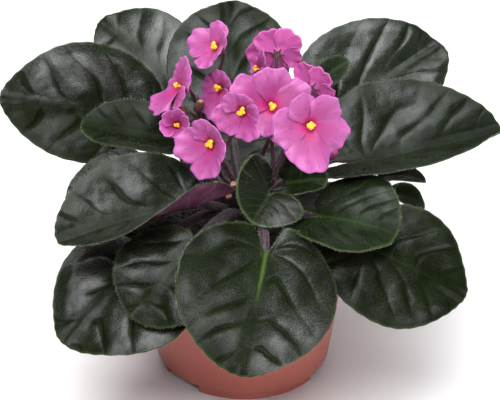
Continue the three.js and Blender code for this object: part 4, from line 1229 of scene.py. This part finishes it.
# The outline from the boss up the outside, over the lip and down to the floor, spun round
def potPiece():
    boss, bottom, foot, top = (pot[key] for key in ("bossRadius", "bottomRadius", "footHeight", "height"))
    step, lip, wall = wallAt(lipBottom), pot["lipTopRadius"], pot["wall"]
    ledge, floorTop = step + pot["lipOut"], foot + pot["floor"]
    inner = wallAt(floorTop) - wall
    profile = [
        (0, 0), (boss - 0.6, 0), (boss, 0.6), (boss, foot), (bottom - 1.4, foot),
        (bottom - 0.5, foot + 0.3), (bottom, foot + 1.2), (wallAt(20), 20), (wallAt(35), 35),
        (wallAt(50), 50), (step - 0.1, lipBottom - 0.6), (step + 0.2, lipBottom),
        (ledge - 0.4, lipBottom + 0.3), (ledge, lipBottom + 1), (lip, top - 1.1), (lip - 0.15, top - 0.4),
        (lip - 0.6, top), (lip - wall + 0.5, top), (lip - wall + 0.1, top - 0.5),
        (ledge - wall, lipBottom + 2), (step - wall, lipBottom + 1), (inner, floorTop + 1),
        (inner - 1, floorTop), (0, floorTop),
    ]
    edges = [(i, i + 1) for i in range(len(profile) - 1)]
    piece = newPiece("pot_shell", [(r, 0, z) for r, z in profile], [], edges)
    selectOnly(piece)
    bpy.ops.object.mode_set(mode="EDIT")
    bpy.ops.mesh.select_all(action="SELECT")
    bpy.ops.mesh.spin(steps=pot["spin"], angle=wholeTurn, center=(0, 0, 0), axis=(0, 0, 1))
    closeMesh(0.00002)
    for number in range(pot["drains"]):
        spot = (*polar(pot["drainRing"], wholeTurn * number / pot["drains"]), foot + pot["floor"] / 2)
        drill = add(
            bpy.ops.mesh.primitive_cylinder_add, vertices=32, radius=pot["drainRadius"] * mm,
            depth=4 * pot["floor"] * mm, location=Vector(spot) * mm)
        change(piece, "BOOLEAN", object=drill, solver="EXACT")
        bpy.data.objects.remove(drill)
    settle(piece, potPaint, ["pot"], sharpFrom=40)


def footPiece(number):
    start = math.radians(pot["firstFoot"] + 360 / pot["feet"] * number)
    arc, steps = math.radians(pot["footArc"]), pot["footSteps"]
    outer, top = pot["footRadius"], pot["footHeight"] + pot["floor"] / 2
    inner = outer - pot["footWall"]
    section = [(outer - 0.5, 0), (outer, 0.5), (outer, top), (inner, top), (inner, 0.5), (inner + 0.5, 0)]
    size = len(section)
    points, faces = [], []
    for i in range(steps + 1):
        points += [(*polar(r, start + arc * i / steps), z) for r, z in section]
    for i in range(steps):
        for j in range(size):
            a, b = i * size + j, i * size + (j + 1) % size
            faces.append([a, a + size, b + size, b])
    faces += [list(range(size)), [steps * size + j for j in reversed(range(size))]]
    settle(newPiece(f"pot_foot_{number + 1}", points, faces), potPaint, sharpFrom=35)


potPaint = potSurface()
potPiece()
for number in range(pot["feet"]):
    footPiece(number)
print("pot made")


# Soil: a rough dark top in a body that fills the pot

soil = {
    "level": 77, "sunk": 1, "lumps": 1.3, "rough": 0.55, "fine": 0.35, "cells": 90, "heldWithin": 4,
    "crumbs": 420, "crumbSize": (0.5, 1.7), "crumbShape": (1, 0.8, 0.7), "crumbsWithin": 3,
}


def lumps(x, y, wave):
    return soil["lumps"] * wave.sin(0.31 * x + 0.7) * wave.cos(0.27 * y - 0.4)


def soilPiece():
    radius = wallAt(lipBottom) - pot["wall"] - clearance
    bottom = pot["footHeight"] + pot["floor"] + clearance
    grid = {"x_subdivisions": soil["cells"], "y_subdivisions": soil["cells"], "size": 2}
    piece = add(bpy.ops.mesh.primitive_grid_add, "soil_fill", **grid)
    x, y = (radius * value for value in discPlaces(piece.data))
    held = smooth((radius - np.hypot(x, y)) / soil["heldWithin"])
    rough = soil["rough"] * ripples(x, y, 5, 3) + soil["fine"] * ripples(x, y, 2.4, 4)
    edge = soil["level"] - soil["sunk"]
    z = edge + held * (soil["sunk"] + lumps(x, y, np) + rough)
    writePoints(piece.data, np.column_stack([x, y, z]))
    selectOnly(piece)
    bpy.ops.object.mode_set(mode="EDIT")
    bpy.ops.mesh.select_all(action="DESELECT")
    bpy.ops.mesh.select_mode(type="EDGE")
    bpy.ops.mesh.select_non_manifold()
    drop = (0, 0, (bottom - edge) * mm)
    bpy.ops.mesh.extrude_region_move(TRANSFORM_OT_translate={"value": drop})
    narrow = (wallAt(bottom) - pot["wall"] - clearance) / radius
    bpy.ops.transform.resize(value=(narrow, narrow, 1), center_override=(0, 0, 0))
    bpy.ops.mesh.edge_face_add()
    closeMesh()
    settle(piece, soilPaint, ["soil"], sharpFrom=50)
    crumbPiece(radius)


def crumbPiece(radius):
    draw = np.random.default_rng(31)
    shape, tris = pattern(bpy.ops.mesh.primitive_ico_sphere_add, subdivisions=1, radius=1)
    points, faces = [], []
    for number in range(soil["crumbs"]):
        away = (radius - soil["crumbsWithin"]) * math.sqrt(draw.uniform(0.06, 1))
        x, y = polar(away, draw.uniform(0, wholeTurn))
        size = draw.uniform(*soil["crumbSize"])
        jagged = shape * draw.uniform(0.7, 1.3, shape.shape) * size * soil["crumbShape"]
        points.append(jagged + (x, y, soil["level"] + lumps(x, y, math) + 0.1 * size))
        faces += (np.array(tris) + number * len(shape)).tolist()
    settle(newPiece("soil_crumbs", np.vstack(points), faces), soilPaint, sharpFrom=0)


soilPaint = grainySurface(
    "peat", (700, 5), (0.35, 0.75), (0.004, 0.003, 0.0025), (0.022, 0.015, 0.011), 0.95, (0.5, 0.8))
soilPiece()
print("soil made")

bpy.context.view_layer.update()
triangles = sum(
    sum(len(polygon.vertices) - 2 for polygon in piece.data.polygons)
    for piece in bpy.data.objects if piece.type == "MESH" and not piece.hide_render)
print("triangles in view:", triangles)
